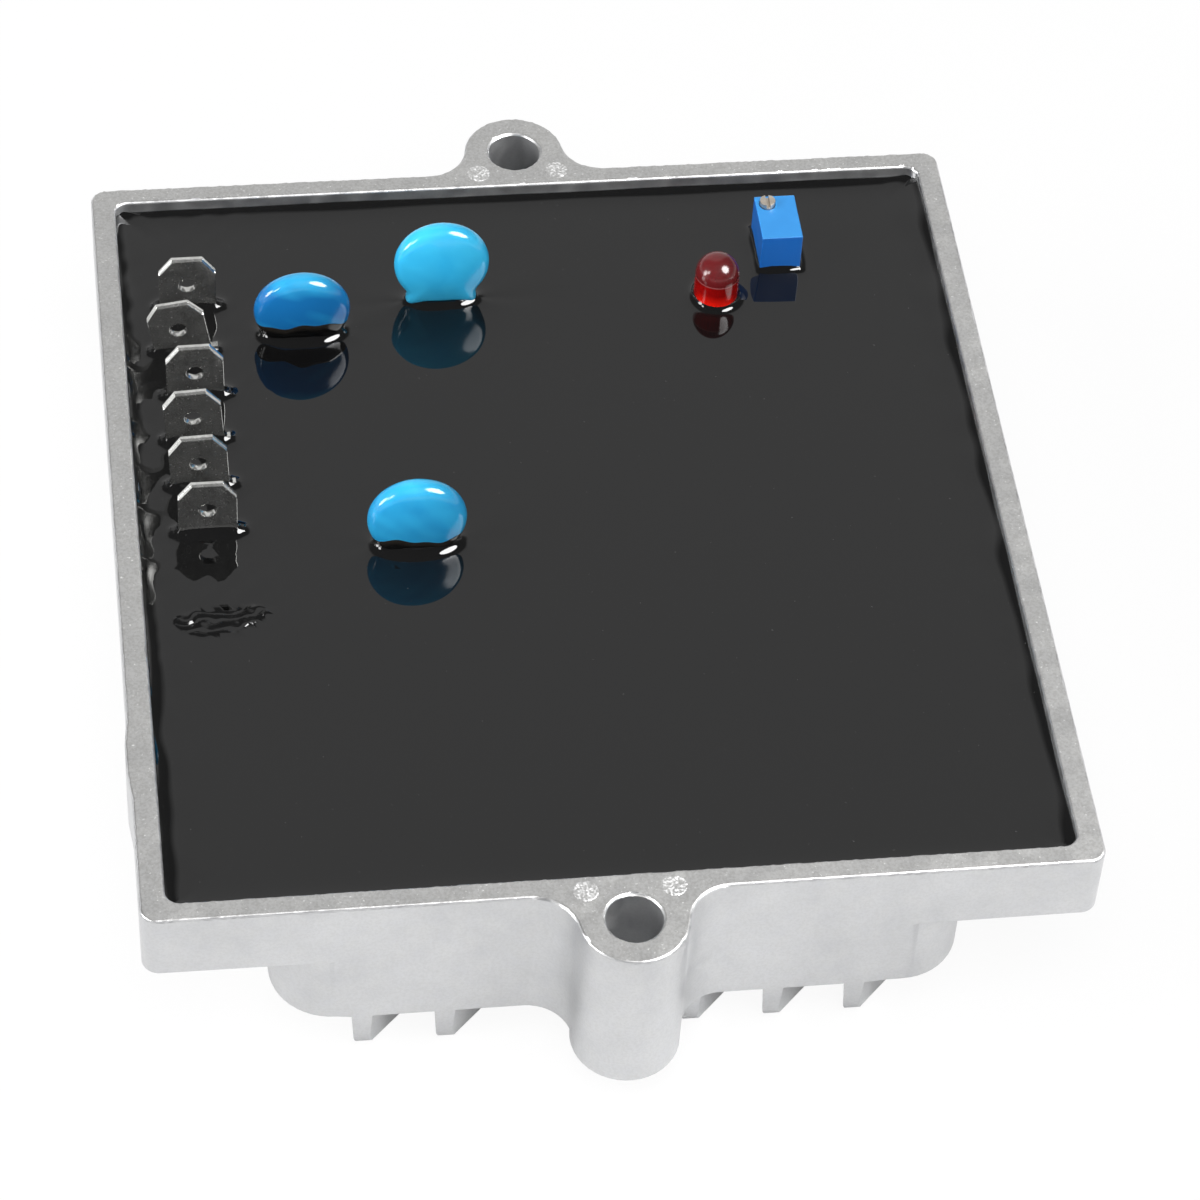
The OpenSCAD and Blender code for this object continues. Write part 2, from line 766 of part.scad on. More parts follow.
// Flanged sleeves that keep the fixing screws off the plates
module insulating_bushes() {
    color("ivory")
        for (s = [-1, 1])
            difference() {
                union() {
                    post(s * device_x, -device_y + device_hole_y, device_hole_d, plate_bottom, plate_top);
                    post(s * device_x, -device_y + device_hole_y, fixing_head_d,
                         plate_top, plate_top + bush_flange_t);
                }
                post(s * device_x, -device_y + device_hole_y, fixing_d, plate_bottom - over,
                     plate_top + bush_flange_t + over);
            }
}

module fixing_screws() {
    head_z = plate_top + bush_flange_t;
    color("gray")
        for (s = [-1, 1])
            difference() {
                union() {
                    post(s * device_x, -device_y + device_hole_y, fixing_d,
                         box_floor_z - fixing_reach, head_z);
                    post(s * device_x, -device_y + device_hole_y, fixing_head_d,
                         head_z, head_z + fixing_head_h);
                }
                bar(s * device_x, -device_y + device_hole_y, fixing_head_d + over, fixing_d / 4,
                    head_z + fixing_head_h / 2, head_z + fixing_head_h + over);
            }
}

module comparator_chip() {
    color("dimgray")
        bar(chip_place[0], chip_place[1], chip_l, chip_w, board_z - chip_h, board_z);
}

// Two rows of pins, from the sides of the chip up through the board
module comparator_pins() {
    first = -(chip_side_n - 1) / 2;
    color("silver")
        for (k = [0:chip_side_n - 1], s = [-1, 1])
            translate([chip_place[0] + (first + k) * chip_pin_pitch - chip_pin_w / 2, chip_place[1], 0]) {
                translate([0, s * chip_row_span / 2 - chip_pin_t / 2, board_z - chip_h / 2])
                    cube([chip_pin_w, chip_pin_t, stub_top - board_z + chip_h / 2]);
                translate([0, s > 0 ? chip_w / 2 : -chip_row_span / 2, board_z - chip_h / 2])
                    cube([chip_pin_w, (chip_row_span - chip_w) / 2, chip_pin_t]);
            }
}

module storage_capacitor() {
    color("midnightblue")
        lying(can_place[0], can_place[1], board_z - can_d / 2, can_d, can_l);
}

// Both leads leave one end of the can and turn up into the board
module storage_capacitor_leads() {
    z = board_z - can_d / 2;
    x = can_place[0] + can_l / 2;
    color("silver")
        for (s = [-1, 1]) {
            lying(x + (can_lead_out + wire_d / 2) / 2, can_place[1] + s * can_lead_pitch / 2, z,
                  wire_d, can_lead_out + wire_d / 2);
            post(x + can_lead_out, can_place[1] + s * can_lead_pitch / 2, wire_d, z, stub_top);
        }
}

module film_capacitor() {
    color("goldenrod")
        bar(film_place[0], film_place[1], film_w, film_t, board_z - film_h, board_z);
}

module film_capacitor_leads() {
    color("silver")
        for (s = [-1, 1])
            post(film_place[0] + s * film_lead_pitch / 2, film_place[1], wire_d, board_z, stub_top);
}

// Leads of a lying part: out of both ends and up through the board
module end_leads(x, y, z, body_l, span) {
    out = (span - body_l) / 2 + wire_d / 2;
    for (s = [-1, 1]) {
        lying(x + s * (body_l + out) / 2, y, z, wire_d, out);
        post(x + s * span / 2, y, wire_d, z, stub_top);
    }
}

module power_resistor() {
    color("seagreen")
        lying(power_place[0], power_place[1], board_z - power_d / 2, power_d, power_l);
}

module power_resistor_leads() {
    color("silver")
        end_leads(power_place[0], power_place[1], board_z - power_d / 2, power_l, power_lead_span);
}

module small_resistors() {
    color("tan")
        for (k = [0:resistor_n - 1])
            lying(resistor_place[0], resistor_place[1] + k * resistor_step, board_z - resistor_d / 2,
                  resistor_d, resistor_l);
}

module small_resistor_leads() {
    color("silver")
        for (k = [0:resistor_n - 1])
            end_leads(resistor_place[0], resistor_place[1] + k * resistor_step, board_z - resistor_d / 2,
                      resistor_l, axial_span);
}

module rectifier_diodes() {
    color("dimgray")
        for (k = [0:rectifier_n - 1])
            lying(rectifier_place[0], rectifier_place[1] + k * rectifier_step, board_z - rectifier_d / 2,
                  rectifier_d, rectifier_l);
}

module rectifier_leads() {
    color("silver")
        for (k = [0:rectifier_n - 1])
            end_leads(rectifier_place[0], rectifier_place[1] + k * rectifier_step,
                      board_z - rectifier_d / 2, rectifier_l, axial_span);
}

housing();
circuit_board();
potting_resin();
terminal(0);  // terminal_1
terminal(1);  // terminal_2
terminal(2);  // terminal_3
terminal(3);  // terminal_4
terminal(4);  // terminal_5
terminal(5);  // terminal_6
disc_capacitor(0);  // disc_capacitor_1
disc_capacitor(1);  // disc_capacitor_2
disc_capacitor(2);  // disc_capacitor_3
disc_leads(0);  // disc_leads_1
disc_leads(1);  // disc_leads_2
disc_leads(2);  // disc_leads_3
lamp_lens();
lamp_lead_frame();
trimmer_case();
trimmer_pins();
trimmer_screw();
thyristor_body();
thyristor_lead_frame();
diode_body();
diode_lead_frame();
insulating_pads();
insulating_bushes();
fixing_screws();
comparator_chip();
comparator_pins();
storage_capacitor();
storage_capacitor_leads();
film_capacitor();
film_capacitor_leads();
power_resistor();
power_resistor_leads();
small_resistors();
small_resistor_leads();
rectifier_diodes();
rectifier_leads();
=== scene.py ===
# Looks for a potted voltage regulator module: cast tray, glossy resin, blades, discs, lamp and trimmer.
# Metres, +Z up, the fin tips on z = 0. Sizes in the script are millimetres times MM.
import json
import math

import bmesh
import bpy
import numpy as np
from mathutils import Matrix, Vector, noise

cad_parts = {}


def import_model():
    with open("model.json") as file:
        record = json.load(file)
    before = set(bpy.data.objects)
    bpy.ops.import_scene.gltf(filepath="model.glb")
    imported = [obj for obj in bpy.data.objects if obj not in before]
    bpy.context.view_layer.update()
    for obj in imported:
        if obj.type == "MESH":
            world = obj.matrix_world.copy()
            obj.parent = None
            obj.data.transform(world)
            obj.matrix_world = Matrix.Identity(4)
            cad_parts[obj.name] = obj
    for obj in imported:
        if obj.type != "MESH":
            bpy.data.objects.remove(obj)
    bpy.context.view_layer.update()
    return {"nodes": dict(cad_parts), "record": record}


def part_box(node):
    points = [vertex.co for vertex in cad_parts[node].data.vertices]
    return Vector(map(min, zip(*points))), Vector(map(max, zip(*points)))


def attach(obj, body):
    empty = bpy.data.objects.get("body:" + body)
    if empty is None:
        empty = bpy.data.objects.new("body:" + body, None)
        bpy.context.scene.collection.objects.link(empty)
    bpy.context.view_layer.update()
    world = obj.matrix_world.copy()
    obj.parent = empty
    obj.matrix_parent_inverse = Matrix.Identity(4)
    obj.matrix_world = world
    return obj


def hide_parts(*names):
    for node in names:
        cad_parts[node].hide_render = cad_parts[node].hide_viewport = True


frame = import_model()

MM = 0.001
NODES = frame["nodes"]

# Heights of the main levels, in millimetres
RIM_Z = 23.0
RESIN_Z = 21.03
SKIN_BOTTOM_Z = 20.85

# Height of the ring where the lamp's dome meets its barrel
LENS_RING_Z = 24.6

# Inside of the recess, half sizes in millimetres, and how far the resin skin reaches into the wall
RECESS_X = 46.35
RECESS_Y = 50.5
WALL_REACH = 0.15


def middle(node):
    """Centre of a CAD node's box, in millimetres."""
    low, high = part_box(node)
    return [(a + b) / 2 / MM for a, b in zip(low, high)]


# Material helpers
def tree_of(name):
    """A new material, its node tree and its main shader."""
    mat = bpy.data.materials.new(name)
    mat.use_nodes = True
    return mat, mat.node_tree, mat.node_tree.nodes["Principled BSDF"]


def add(tree, kind, inputs=None, **props):
    """Adds a node. Values in inputs are set, and sockets in it are linked."""
    node = tree.nodes.new("ShaderNode" + kind)
    for key, value in props.items():
        setattr(node, key, value)
    feed(tree, node, inputs or {})
    return node


def feed(tree, node, inputs):
    """Sets or links a node's inputs."""
    for key, value in inputs.items():
        if isinstance(value, bpy.types.NodeSocket):
            tree.links.new(value, node.inputs[key])
        else:
            node.inputs[key].default_value = value


def spots(tree, size, detail=3.0, rough=0.5, stretch=(1, 1, 1), warp=0.0):
    """Noise with features about size millimetres across."""
    place = add(tree, "TexCoord").outputs["Object"]
    scale = [s / (size * MM) for s in stretch]
    spot = add(tree, "Mapping", {"Vector": place, "Scale": scale}).outputs[0]
    values = {"Vector": spot, "Scale": 1.0, "Detail": detail, "Roughness": rough, "Distortion": warp}
    return add(tree, "TexNoise", values).outputs["Fac"]


def span(tree, value, low, high, start=0.3, end=0.7):
    """Maps a value from start..end to low..high."""
    values = {"Value": value, "From Min": start, "From Max": end, "To Min": low, "To Max": high}
    return add(tree, "MapRange", values, clamp=True).outputs[0]


def blend(tree, fac, first, second):
    """Mixes two colours or sockets."""
    def colour(c):
        return (*c, 1.0) if isinstance(c, tuple) else c
    return add(tree, "Mix", {0: fac, 6: colour(first), 7: colour(second)}, data_type="RGBA").outputs[2]


def bumps(tree, *layers):
    """Chains bumps, each a height socket and its depth in millimetres."""
    normal = None
    for height, depth in layers:
        inputs = {"Height": height, "Distance": depth * MM, "Strength": 1.0}
        if normal is not None:
            inputs["Normal"] = normal
        normal = add(tree, "Bump", inputs).outputs[0]
    return normal


# Materials
def cast_aluminium():
    """Die-cast aluminium: satin walls, grainier level faces painted darker as shade, tiny specks, and bright
    broken burrs whose near-white is partly a painted highlight.
    """
    mat, tree, shader = tree_of("cast_aluminium_finish")
    clouds = spots(tree, 9, 4, 0.6)
    patches = spots(tree, 2.2, 3, 0.55)
    grain = spots(tree, 0.3, 3, 0.65)
    flecks = spots(tree, 0.35, 2, 0.5)
    streaks = spots(tree, 0.5, 3, 0.6, (0.12, 1, 1))
    breaks = spots(tree, 0.8, 2, 0.6)
    burr_and_painted_highlight = add(tree, "Attribute", attribute_name="burr_and_painted_highlight").outputs["Fac"]
    facing = add(tree, "SeparateXYZ", {0: add(tree, "NewGeometry").outputs["Normal"]}).outputs["Z"]
    level = span(tree, facing, 0, 1, 0.6, 0.95)
    base = blend(tree, span(tree, clouds, 0, 1, 0.35, 0.65), (0.60, 0.605, 0.62), (0.67, 0.675, 0.69))
    base = blend(tree, span(tree, patches, 0, 0.45), base, (0.71, 0.71, 0.70))
    # Painted shade: faces that look up are mixed towards a darker grey; the grain and specks after this are
    # the metal's own
    base = blend(tree, level, base, blend(tree, 0.6, base, (0.52, 0.515, 0.50)))
    speckle = add(tree, "Math", {0: level, 1: 0.7}, operation="MULTIPLY_ADD")
    speckle.inputs[2].default_value = 0.3
    dark = add(tree, "Math", {0: span(tree, grain, 0, 0.42, 0.42, 0.62), 1: speckle.outputs[0]},
               operation="MULTIPLY").outputs[0]
    base = blend(tree, dark, base, (0.36, 0.355, 0.34))
    light = add(tree, "Math", {0: span(tree, flecks, 0, 0.8, 0.66, 0.76), 1: level}, operation="MULTIPLY")
    base = blend(tree, light.outputs[0], base, (0.95, 0.95, 0.94))
    # Broken rim edges painted near white: partly the bare metal of real burrs, partly a painted highlight
    # along the edges
    broken = add(tree, "Math", {0: burr_and_painted_highlight, 1: span(tree, breaks, 0.0, 1.0, 0.34, 0.5)}, operation="MULTIPLY")
    base = blend(tree, broken.outputs[0], base, (0.98, 0.98, 0.98))
    rough = span(tree, patches, 0.38, 0.50)
    rough = blend(tree, broken.outputs[0], rough, (0.6, 0.6, 0.6))
    coarse = add(tree, "Math", {0: grain, 1: speckle.outputs[0]}, operation="MULTIPLY").outputs[0]
    normal = bumps(tree, (clouds, 0.02), (patches, 0.012), (coarse, 0.022), (streaks, 0.004))
    feed(tree, shader, {"Base Color": base, "Metallic": 1.0, "Roughness": rough, "Normal": normal})
    return mat


def potting_resin():
    """Black casting resin: mirror smooth, with the odd speck of dust, duller where it is scuffed."""
    mat, tree, shader = tree_of("potting_resin_finish")
    dust = spots(tree, 0.5, 2, 0.5)
    haze = spots(tree, 14, 3, 0.5)
    tears = spots(tree, 0.9, 3, 0.6)
    scuff = add(tree, "Attribute", attribute_name="scuff").outputs["Fac"]
    base = blend(tree, span(tree, dust, 0, 1, 0.75, 0.8), (0.0042, 0.0042, 0.0043), (0.05, 0.05, 0.05))
    rough = blend(tree, scuff, span(tree, haze, 0.015, 0.03), span(tree, tears, 0.05, 0.16, 0.4, 0.6))
    torn = add(tree, "Math", {0: tears, 1: scuff}, operation="MULTIPLY").outputs[0]
    feed(tree, shader, {"Base Color": base, "Roughness": rough, "IOR": 1.5,
                        "Normal": bumps(tree, (haze, 0.01), (torn, 0.03))})
    return mat


def tinned_brass():
    """Tinned blade terminals: mirror-like, with faint drawing lines and small scratches."""
    mat, tree, shader = tree_of("tinned_brass_finish")
    lines = spots(tree, 0.3, 2, 0.5, (1, 1, 0.05))
    smears = spots(tree, 1.3, 4, 0.7)
    pits = spots(tree, 0.25, 1, 0.5)
    base = blend(tree, span(tree, smears, 0, 1), (0.60, 0.60, 0.58), (0.80, 0.80, 0.78))
    base = blend(tree, span(tree, lines, 0, 0.35, 0.5, 0.7), base, (0.40, 0.40, 0.39))
    base = blend(tree, span(tree, pits, 0, 0.5, 0.70, 0.76), base, (0.25, 0.25, 0.24))
    rough = blend(tree, span(tree, pits, 0, 1, 0.68, 0.78), span(tree, smears, 0.15, 0.22), (0.4, 0.4, 0.4))
    feed(tree, shader, {"Base Color": base, "Metallic": 0.94, "Roughness": rough,
                        "Normal": bumps(tree, (smears, 0.008), (lines, 0.003), (pits, 0.007))})
    return mat


def blue_coating():
    """Dipped ceramic coating: glossy sky blue with a faint mottle, darkened by painted shade, black where the
    resin wets it, with a faint painted reflection just below the edge of the black.
    """
    mat, tree, shader = tree_of("blue_coating_finish")
    mottle = spots(tree, 4.2, 2, 0.45, warp=0.8)
    fine = spots(tree, 0.7, 2, 0.5)
    dry = add(tree, "Attribute", attribute_name="dry").outputs["Fac"]
    shade = add(tree, "Attribute", attribute_name="shade").outputs["Fac"]
    base = blend(tree, span(tree, mottle, 0, 1, 0.35, 0.65), (0.038, 0.53, 0.92), (0.054, 0.60, 0.97))
    # Painted shade: the shade attribute darkens the blue, more lower down on each disc
    base = blend(tree, shade, base, (0.010, 0.17, 0.47))
    # The wetting resin film is black, with a painted reflection: a faintly lighter band just below its edge
    film_and_painted_reflection = blend(tree, span(tree, dry, 0, 1, -1.1, -0.45), (0.004, 0.004, 0.004), (0.022, 0.019, 0.016))
    base = blend(tree, span(tree, dry, 0, 1, -0.04, 0.04), film_and_painted_reflection, base)
    step = span(tree, dry, 1, 0, -0.12, 0.06)
    rough = span(tree, fine, 0.10, 0.16)
    feed(tree, shader, {"Base Color": base, "Roughness": rough, "IOR": 1.5,
                        "Normal": bumps(tree, (mottle, 0.02), (fine, 0.002), (step, 0.05))})
    return mat


def red_lens():
    """Tinted epoxy of the lamp: dull dome, and a barrel with a painted glow towards its foot, strongest where
    it faces the viewer.
    """
    mat, tree, shader = tree_of("red_lens_finish")
    haze = spots(tree, 1.2, 2, 0.5)
    place = add(tree, "TexCoord").outputs["Object"]
    rise = add(tree, "SeparateXYZ", {0: place}).outputs["Z"]
    dome = span(tree, rise, 0, 1, (LENS_RING_Z - 0.25) * MM, (LENS_RING_Z + 0.1) * MM)
    # Painted glow: the barrel's colour brightens low down and where it faces the viewer; the lamp gives no
    # light
    front = span(tree, add(tree, "LayerWeight").outputs["Facing"], 1, 0, 0.36, 0.62)
    glow = add(tree, "Math", {0: span(tree, rise, 1, 0, 21.6 * MM, 23.3 * MM), 1: front},
               operation="MULTIPLY").outputs[0]
    ring_low = span(tree, rise, 0, 1, (LENS_RING_Z - 0.12) * MM, (LENS_RING_Z - 0.03) * MM)
    ring_high = span(tree, rise, 1, 0, (LENS_RING_Z + 0.03) * MM, (LENS_RING_Z + 0.12) * MM)
    ring = add(tree, "Math", {0: ring_low, 1: ring_high}, operation="MULTIPLY").outputs[0]
    base = blend(tree, span(tree, haze, 0, 1), (0.26, 0.002, 0.002), (0.33, 0.003, 0.003))
    base = blend(tree, glow, base, (0.90, 0.012, 0.004))
    base = blend(tree, dome, base, (0.15, 0.012, 0.014))
    base = blend(tree, add(tree, "Math", {0: ring, 1: 0.6}, operation="MULTIPLY").outputs[0], base,
                 (0.50, 0.16, 0.16))
    rough = blend(tree, dome, span(tree, haze, 0.10, 0.14), (0.17, 0.17, 0.17))
    feed(tree, shader, {"Base Color": base, "Roughness": rough, "IOR": 1.5})
    shader.inputs["Transmission Weight"].default_value = 0.12
    return mat


def plastic(name, dark, light, size, low, high, depth=0.01, sides=None):
    """Moulded plastic: two close shades in patches, fine grain, satin to matt, with painted shade on the
    sides when a side colour is given.
    """
    mat, tree, shader = tree_of(name + "_finish")
    patches = spots(tree, size, 3, 0.5)
    grain = spots(tree, 0.12, 2, 0.5)
    base = blend(tree, span(tree, patches, 0, 1), dark, light)
    # Painted shade: faces that do not look up take the darker side colour
    if sides:
        facing = add(tree, "SeparateXYZ", {0: add(tree, "NewGeometry").outputs["Normal"]}).outputs["Z"]
        base = blend(tree, span(tree, facing, 1, 0, 0.3, 0.9), base, sides)
    feed(tree, shader, {"Base Color": base, "Roughness": span(tree, patches, low, high),
                        "Normal": bumps(tree, (patches, depth), (grain, 0.002))})
    return mat


def plated(name, dark, light, low, high):
    """Plated or tinned metal: cloudy, with fine grain."""
    mat, tree, shader = tree_of(name + "_finish")
    clouds = spots(tree, 0.9, 3, 0.6)
    grain = spots(tree, 0.1, 2, 0.5)
    base = blend(tree, span(tree, clouds, 0, 1), dark, light)
    feed(tree, shader, {"Base Color": base, "Metallic": 1.0, "Roughness": span(tree, clouds, low, high),
                        "Normal": bumps(tree, (clouds, 0.005), (grain, 0.001))})
    return mat


FINISHES = {
    "cast_aluminium": cast_aluminium(),
    "potting_resin": potting_resin(),
    "tinned_brass": tinned_brass(),
    "blue_coating": blue_coating(),
    "lamp_lens": red_lens(),
    "circuit_board": plastic("circuit_board", (0.02, 0.13, 0.05), (0.03, 0.17, 0.07), 4, 0.3, 0.45),
    # The trimmer's case has painted shade on its sides
    "trimmer_case": plastic("trimmer_case", (0.030, 0.29, 0.74), (0.038, 0.32, 0.79), 2.5, 0.28, 0.38,
                            sides=(0.012, 0.15, 0.56)),
    "moulded_black": plastic("moulded_black", (0.015, 0.015, 0.016), (0.03, 0.03, 0.03), 1.2, 0.5, 0.65),
    "silicone_sheet": plastic("silicone_sheet", (0.34, 0.34, 0.36), (0.42, 0.42, 0.44), 3, 0.6, 0.75),
    "white_nylon": plastic("white_nylon", (0.72, 0.71, 0.66), (0.80, 0.79, 0.74), 2, 0.35, 0.5),
    "capacitor_can": plastic("capacitor_can", (0.006, 0.009, 0.05), (0.01, 0.014, 0.07), 3, 0.25, 0.35),
    "film_yellow": plastic("film_yellow", (0.62, 0.36, 0.02), (0.72, 0.44, 0.03), 3, 0.2, 0.3),
    "resistor_green": plastic("resistor_green", (0.02, 0.14, 0.06), (0.03, 0.18, 0.08), 1.5, 0.4, 0.6),
    "resistor_tan": plastic("resistor_tan", (0.48, 0.32, 0.15), (0.58, 0.40, 0.20), 1.0, 0.3, 0.45),
    "tinned_leads": plated("tinned_leads", (0.62, 0.62, 0.60), (0.74, 0.74, 0.72), 0.2, 0.35),
    "adjusting_screw": plated("adjusting_screw", (0.50, 0.44, 0.37), (0.66, 0.60, 0.52), 0.3, 0.5),
    "zinc_steel": plated("zinc_steel", (0.50, 0.50, 0.51), (0.62, 0.62, 0.64), 0.25, 0.45),
}


def dress(obj, slot):
    """Gives an object the finish of a slot of the record."""
    obj.data.materials.clear()
    obj.data.materials.append(FINISHES[slot])


def new_piece(name, mesh, slot, body="module"):
    """Puts a mesh into the scene as a piece that rides on a body and wears a slot's finish."""
    obj = bpy.data.objects.new(name, mesh)
    bpy.context.collection.objects.link(obj)
    dress(obj, slot)
    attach(obj, body)
    return obj


def mesh_from(name, points, faces):
    """A smooth mesh from points in millimetres."""
    mesh = bpy.data.meshes.new(name)
    mesh.from_pydata([tuple(c * MM for c in p) for p in points], [], faces)
    mesh.update()
    mesh.shade_smooth()
    return mesh


# Resin surface: menisci at the walls and round every part, drawn as one height field
def meniscus(distance, height, reach):
    """Height of a liquid climbing a wall: it dies away over its reach."""
    return height * np.exp(-np.maximum(distance, 0.0) / reach)


def ease(value, low, high):
    """Smooth step from 0 at low to 1 at high."""
    t = np.clip((value - low) / (high - low), 0, 1)
    return t * t * (3 - 2 * t)


def box_corners(x, y, half_x, half_y):
    """Share of the climb that is left towards a rectangle's corners."""
    return 0.6 + 0.4 * ease(np.maximum(half_x - np.abs(x), half_y - np.abs(y)), -0.8, 1.6)


def box_distance(x, y, half_x, half_y):
    """Distance outside a rectangle, negative inside."""
    dx = np.abs(x) - half_x
    dy = np.abs(y) - half_y
    return np.hypot(np.maximum(dx, 0), np.maximum(dy, 0)) + np.minimum(np.maximum(dx, dy), 0)


def oval_distance(x, y, half_x, half_y):
    """Distance outside an ellipse, negative inside, close to true near its edge."""
    k = np.hypot(x / half_x, y / half_y)
    slope = np.hypot(x / half_x ** 2, y / half_y ** 2)
    return k * (k - 1) / np.maximum(slope, 1e-6)


def ripple(x, y, seed, size):
    """Smooth repeatable wave sum, about -1 to 1, with features about size millimetres across."""
    rng = np.random.default_rng(seed)
    total = np.zeros_like(x)
    waves = 7
    for _ in range(waves):
        angle, phase = rng.uniform(0, 2 * math.pi, 2)
        k = 2 * math.pi / (size * rng.uniform(0.8, 1.9))
        total += np.sin(k * (x * math.cos(angle) + y * math.sin(angle)) + phase)
    return total / math.sqrt(waves)


# Discs: radius, roundness of the rim, half thickness, and how far the foot and its skirts reach
DISC_R = 5.35
DISC_RIM_R = 1.4
DISC_HALF_T = 2.05
DISC_FOOT = 5.42
DISC_SKIRT = 0.315
# Lean of each disc in degrees, height of its centre, and how high the resin wets it
DISC_LEAN = {1: -4.0, 2: 4.0, 3: 1.0}
DISC_Z = {1: 25.15, 2: 26.7, 3: 25.15}
DISC_FILM = {1: 3.1, 2: 0.0, 3: 2.3}
# Painted shade on each disc's coating, at the top and lower down
DISC_PAINTED_SHADE = {1: (0.38, 1.0), 2: (0.0, 0.15), 3: (0.2, 0.55)}
# Half sizes of a disc at the resin, where it sinks in to its middle and where it stands on its neck
DISC_WET = (4.45, 1.62)
DISC_NECK = (4.0, 1.1)
# Blades, their wider shoulders, and the lamp's lens
BLADE_HALF_W = 3.15
BLADE_HALF_T = 0.4
SHOULDER_HALF_W = 3.85
LENS_R = 2.5

# How high the resin climbs on a part and how far from it that reaches, in millimetres
WET_DISC_CLIMB = 1.15
NECK_CLIMB = 0.8
DISC_REACH = 0.58
BLADE_CLIMB = 1.1
BLADE_REACH = 0.6
SHOULDER_CLIMB = 0.5
SHOULDER_REACH = 0.5
LENS_CLIMB = 0.8
LENS_REACH = 0.34
TRIMMER_CLIMB = 0.85
TRIMMER_REACH = 0.42

# How deep the resin's outlines start inside the blades, and inside the lens and the trimmer
BLADE_SINK = 0.1
PART_SINK = 0.06


def disc_centre(k):
    """Centre of a disc in plan, from its leads, and its height."""
    x, y, _ = middle(f"disc_leads_{k}")
    lead_drop = (DISC_R - DISC_RIM_R) * math.sin(math.radians(DISC_LEAN[k]))
    return x, y + lead_drop, DISC_Z[k]


def climber(shape, x, y, half_x, half_y, climb, reach):
    """A part that the resin climbs: its outline, the height of the climb and how far it reaches."""
    return {"shape": shape, "x": x, "y": y, "half_x": half_x, "half_y": half_y,
            "climb": climb, "reach": reach}


def climbers():
    """Each part that the resin climbs."""
    parts = []
    for k in (1, 2, 3):
        cx, cy, cz = disc_centre(k)
        wet = DISC_FILM[k] > 0
        climb = WET_DISC_CLIMB if wet else NECK_CLIMB
        half_x, half_y = DISC_WET if wet else DISC_NECK
        shift = (RESIN_Z + climb / 2 - cz) * math.tan(math.radians(DISC_LEAN[k]))
        parts.append(climber("oval", cx, cy + shift, half_x, half_y, climb, DISC_REACH))
    for k in range(1, 7):
        cx, cy, _ = middle(f"terminal_{k}")
        parts.append(climber("box", cx, cy, BLADE_HALF_W - BLADE_SINK, BLADE_HALF_T - BLADE_SINK,
                             BLADE_CLIMB, BLADE_REACH))
        parts.append(climber("box", cx, cy, SHOULDER_HALF_W, BLADE_HALF_T, SHOULDER_CLIMB, SHOULDER_REACH))
    cx, cy, _ = middle("lamp_lens")
    parts.append(climber("oval", cx, cy, LENS_R - PART_SINK, LENS_R - PART_SINK, LENS_CLIMB, LENS_REACH))
    low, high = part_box("trimmer_case")
    cx, cy, _ = middle("trimmer_case")
    half_x = (high[0] - low[0]) / 2 / MM - PART_SINK
    half_y = (high[1] - low[1]) / 2 / MM - PART_SINK
    parts.append(climber("box", cx, cy, half_x, half_y, TRIMMER_CLIMB, TRIMMER_REACH))
    return parts


CLIMBERS = climbers()


def from_part(part, x, y):
    """Distance from a climber's outline, and the share of its climb at each point."""
    u = x - part["x"]
    v = y - part["y"]
    if part["shape"] == "oval":
        ends = ease(np.abs(u) / part["half_x"], 0.5, 1.1)
        fall = 0.3 if part["half_x"] > 1.2 * part["half_y"] else 0.0
        return oval_distance(u, v, part["half_x"], part["half_y"]), 1 - fall * ends
    distance = box_distance(u, v, part["half_x"], part["half_y"])
    return distance, box_corners(u, v, part["half_x"], part["half_y"])


# Climb at the recess walls, its reach, and the share of the climb that the end walls lack
WALL_CLIMB = 1.05
WALL_CLIMB_REACH = 1.15
END_WALL_FALL = 0.45

# Broad low swell round the discs and the lens
SWELL = 0.09
SWELL_REACH = 3.6

# How far a hollow in the surface may sink, which keeps it above the cast resin
DEEPEST = 0.15


def resin_height(x, y):
    """Height of the resin surface in millimetres."""
    total = np.zeros_like(x)
    swell = np.zeros_like(x)
    uneven = 1 + 0.06 * ripple(x, y, 5, 3.5)
    for part in CLIMBERS:
        distance, share = from_part(part, x, y)
        total += meniscus(distance, part["climb"] * share * uneven, part["reach"]) ** 3
        if part["shape"] == "oval":
            swell += SWELL * np.exp(-(np.maximum(distance, 0) / SWELL_REACH) ** 2)
    wall = -box_distance(x, y, RECESS_X, RECESS_Y)
    ends = ease((RECESS_X - np.abs(x)) - (RECESS_Y - np.abs(y)), -0.5, 3)
    left = ease(-x, 36, 45) * ease(y, -16, -8)
    wall_climb = WALL_CLIMB + 0.12 * ripple(x, y, 11, 9) + 0.08 * left * ripple(x, y, 12, 5)
    wall_reach = WALL_CLIMB_REACH + ends * (0.4 * ease(-x, -10, 30) - 0.35)
    total += meniscus(wall, np.clip(wall_climb, 0.5, 1.6) * (1 - END_WALL_FALL * ends), wall_reach) ** 3
    height = np.cbrt(total) + swell
    # Waves: along the left wall, round the blades, at the side walls and all over
    height += left * np.exp(-wall / 1.5) * 0.02 * ripple(x, y, 13, 4)
    height += ease(-x, 28, 36) * ease(y, -22, -12) * 0.012 * ripple(x, y, 16, 3)
    height += ease(wall, 6, 0.5) * (1 - ends) * 0.025 * ripple(x, y, 15, 5)
    height += 0.005 * ripple(x, y, 14, 16)
    dent, _ = scar(x, y)
    return RESIN_Z + np.maximum(height + dent, -DEEPEST)


# Scar in the resin: its ends, its middle line, its half width, its lip and its overlapping scales
SCAR_LEFT = -43.3
SCAR_RIGHT = -33.4
SCAR_Y = -12.1
SCAR_HALF = 1.75
SCAR_DEPTH = 0.13
SCAR_LIP = 0.02
SCAR_LIP_HALF = 0.16
SCAR_STEP = 1.1
SCAR_SLOPE = 0.33
# Share of a scale that rises, the rest falls back
SCAR_RISE = 0.8


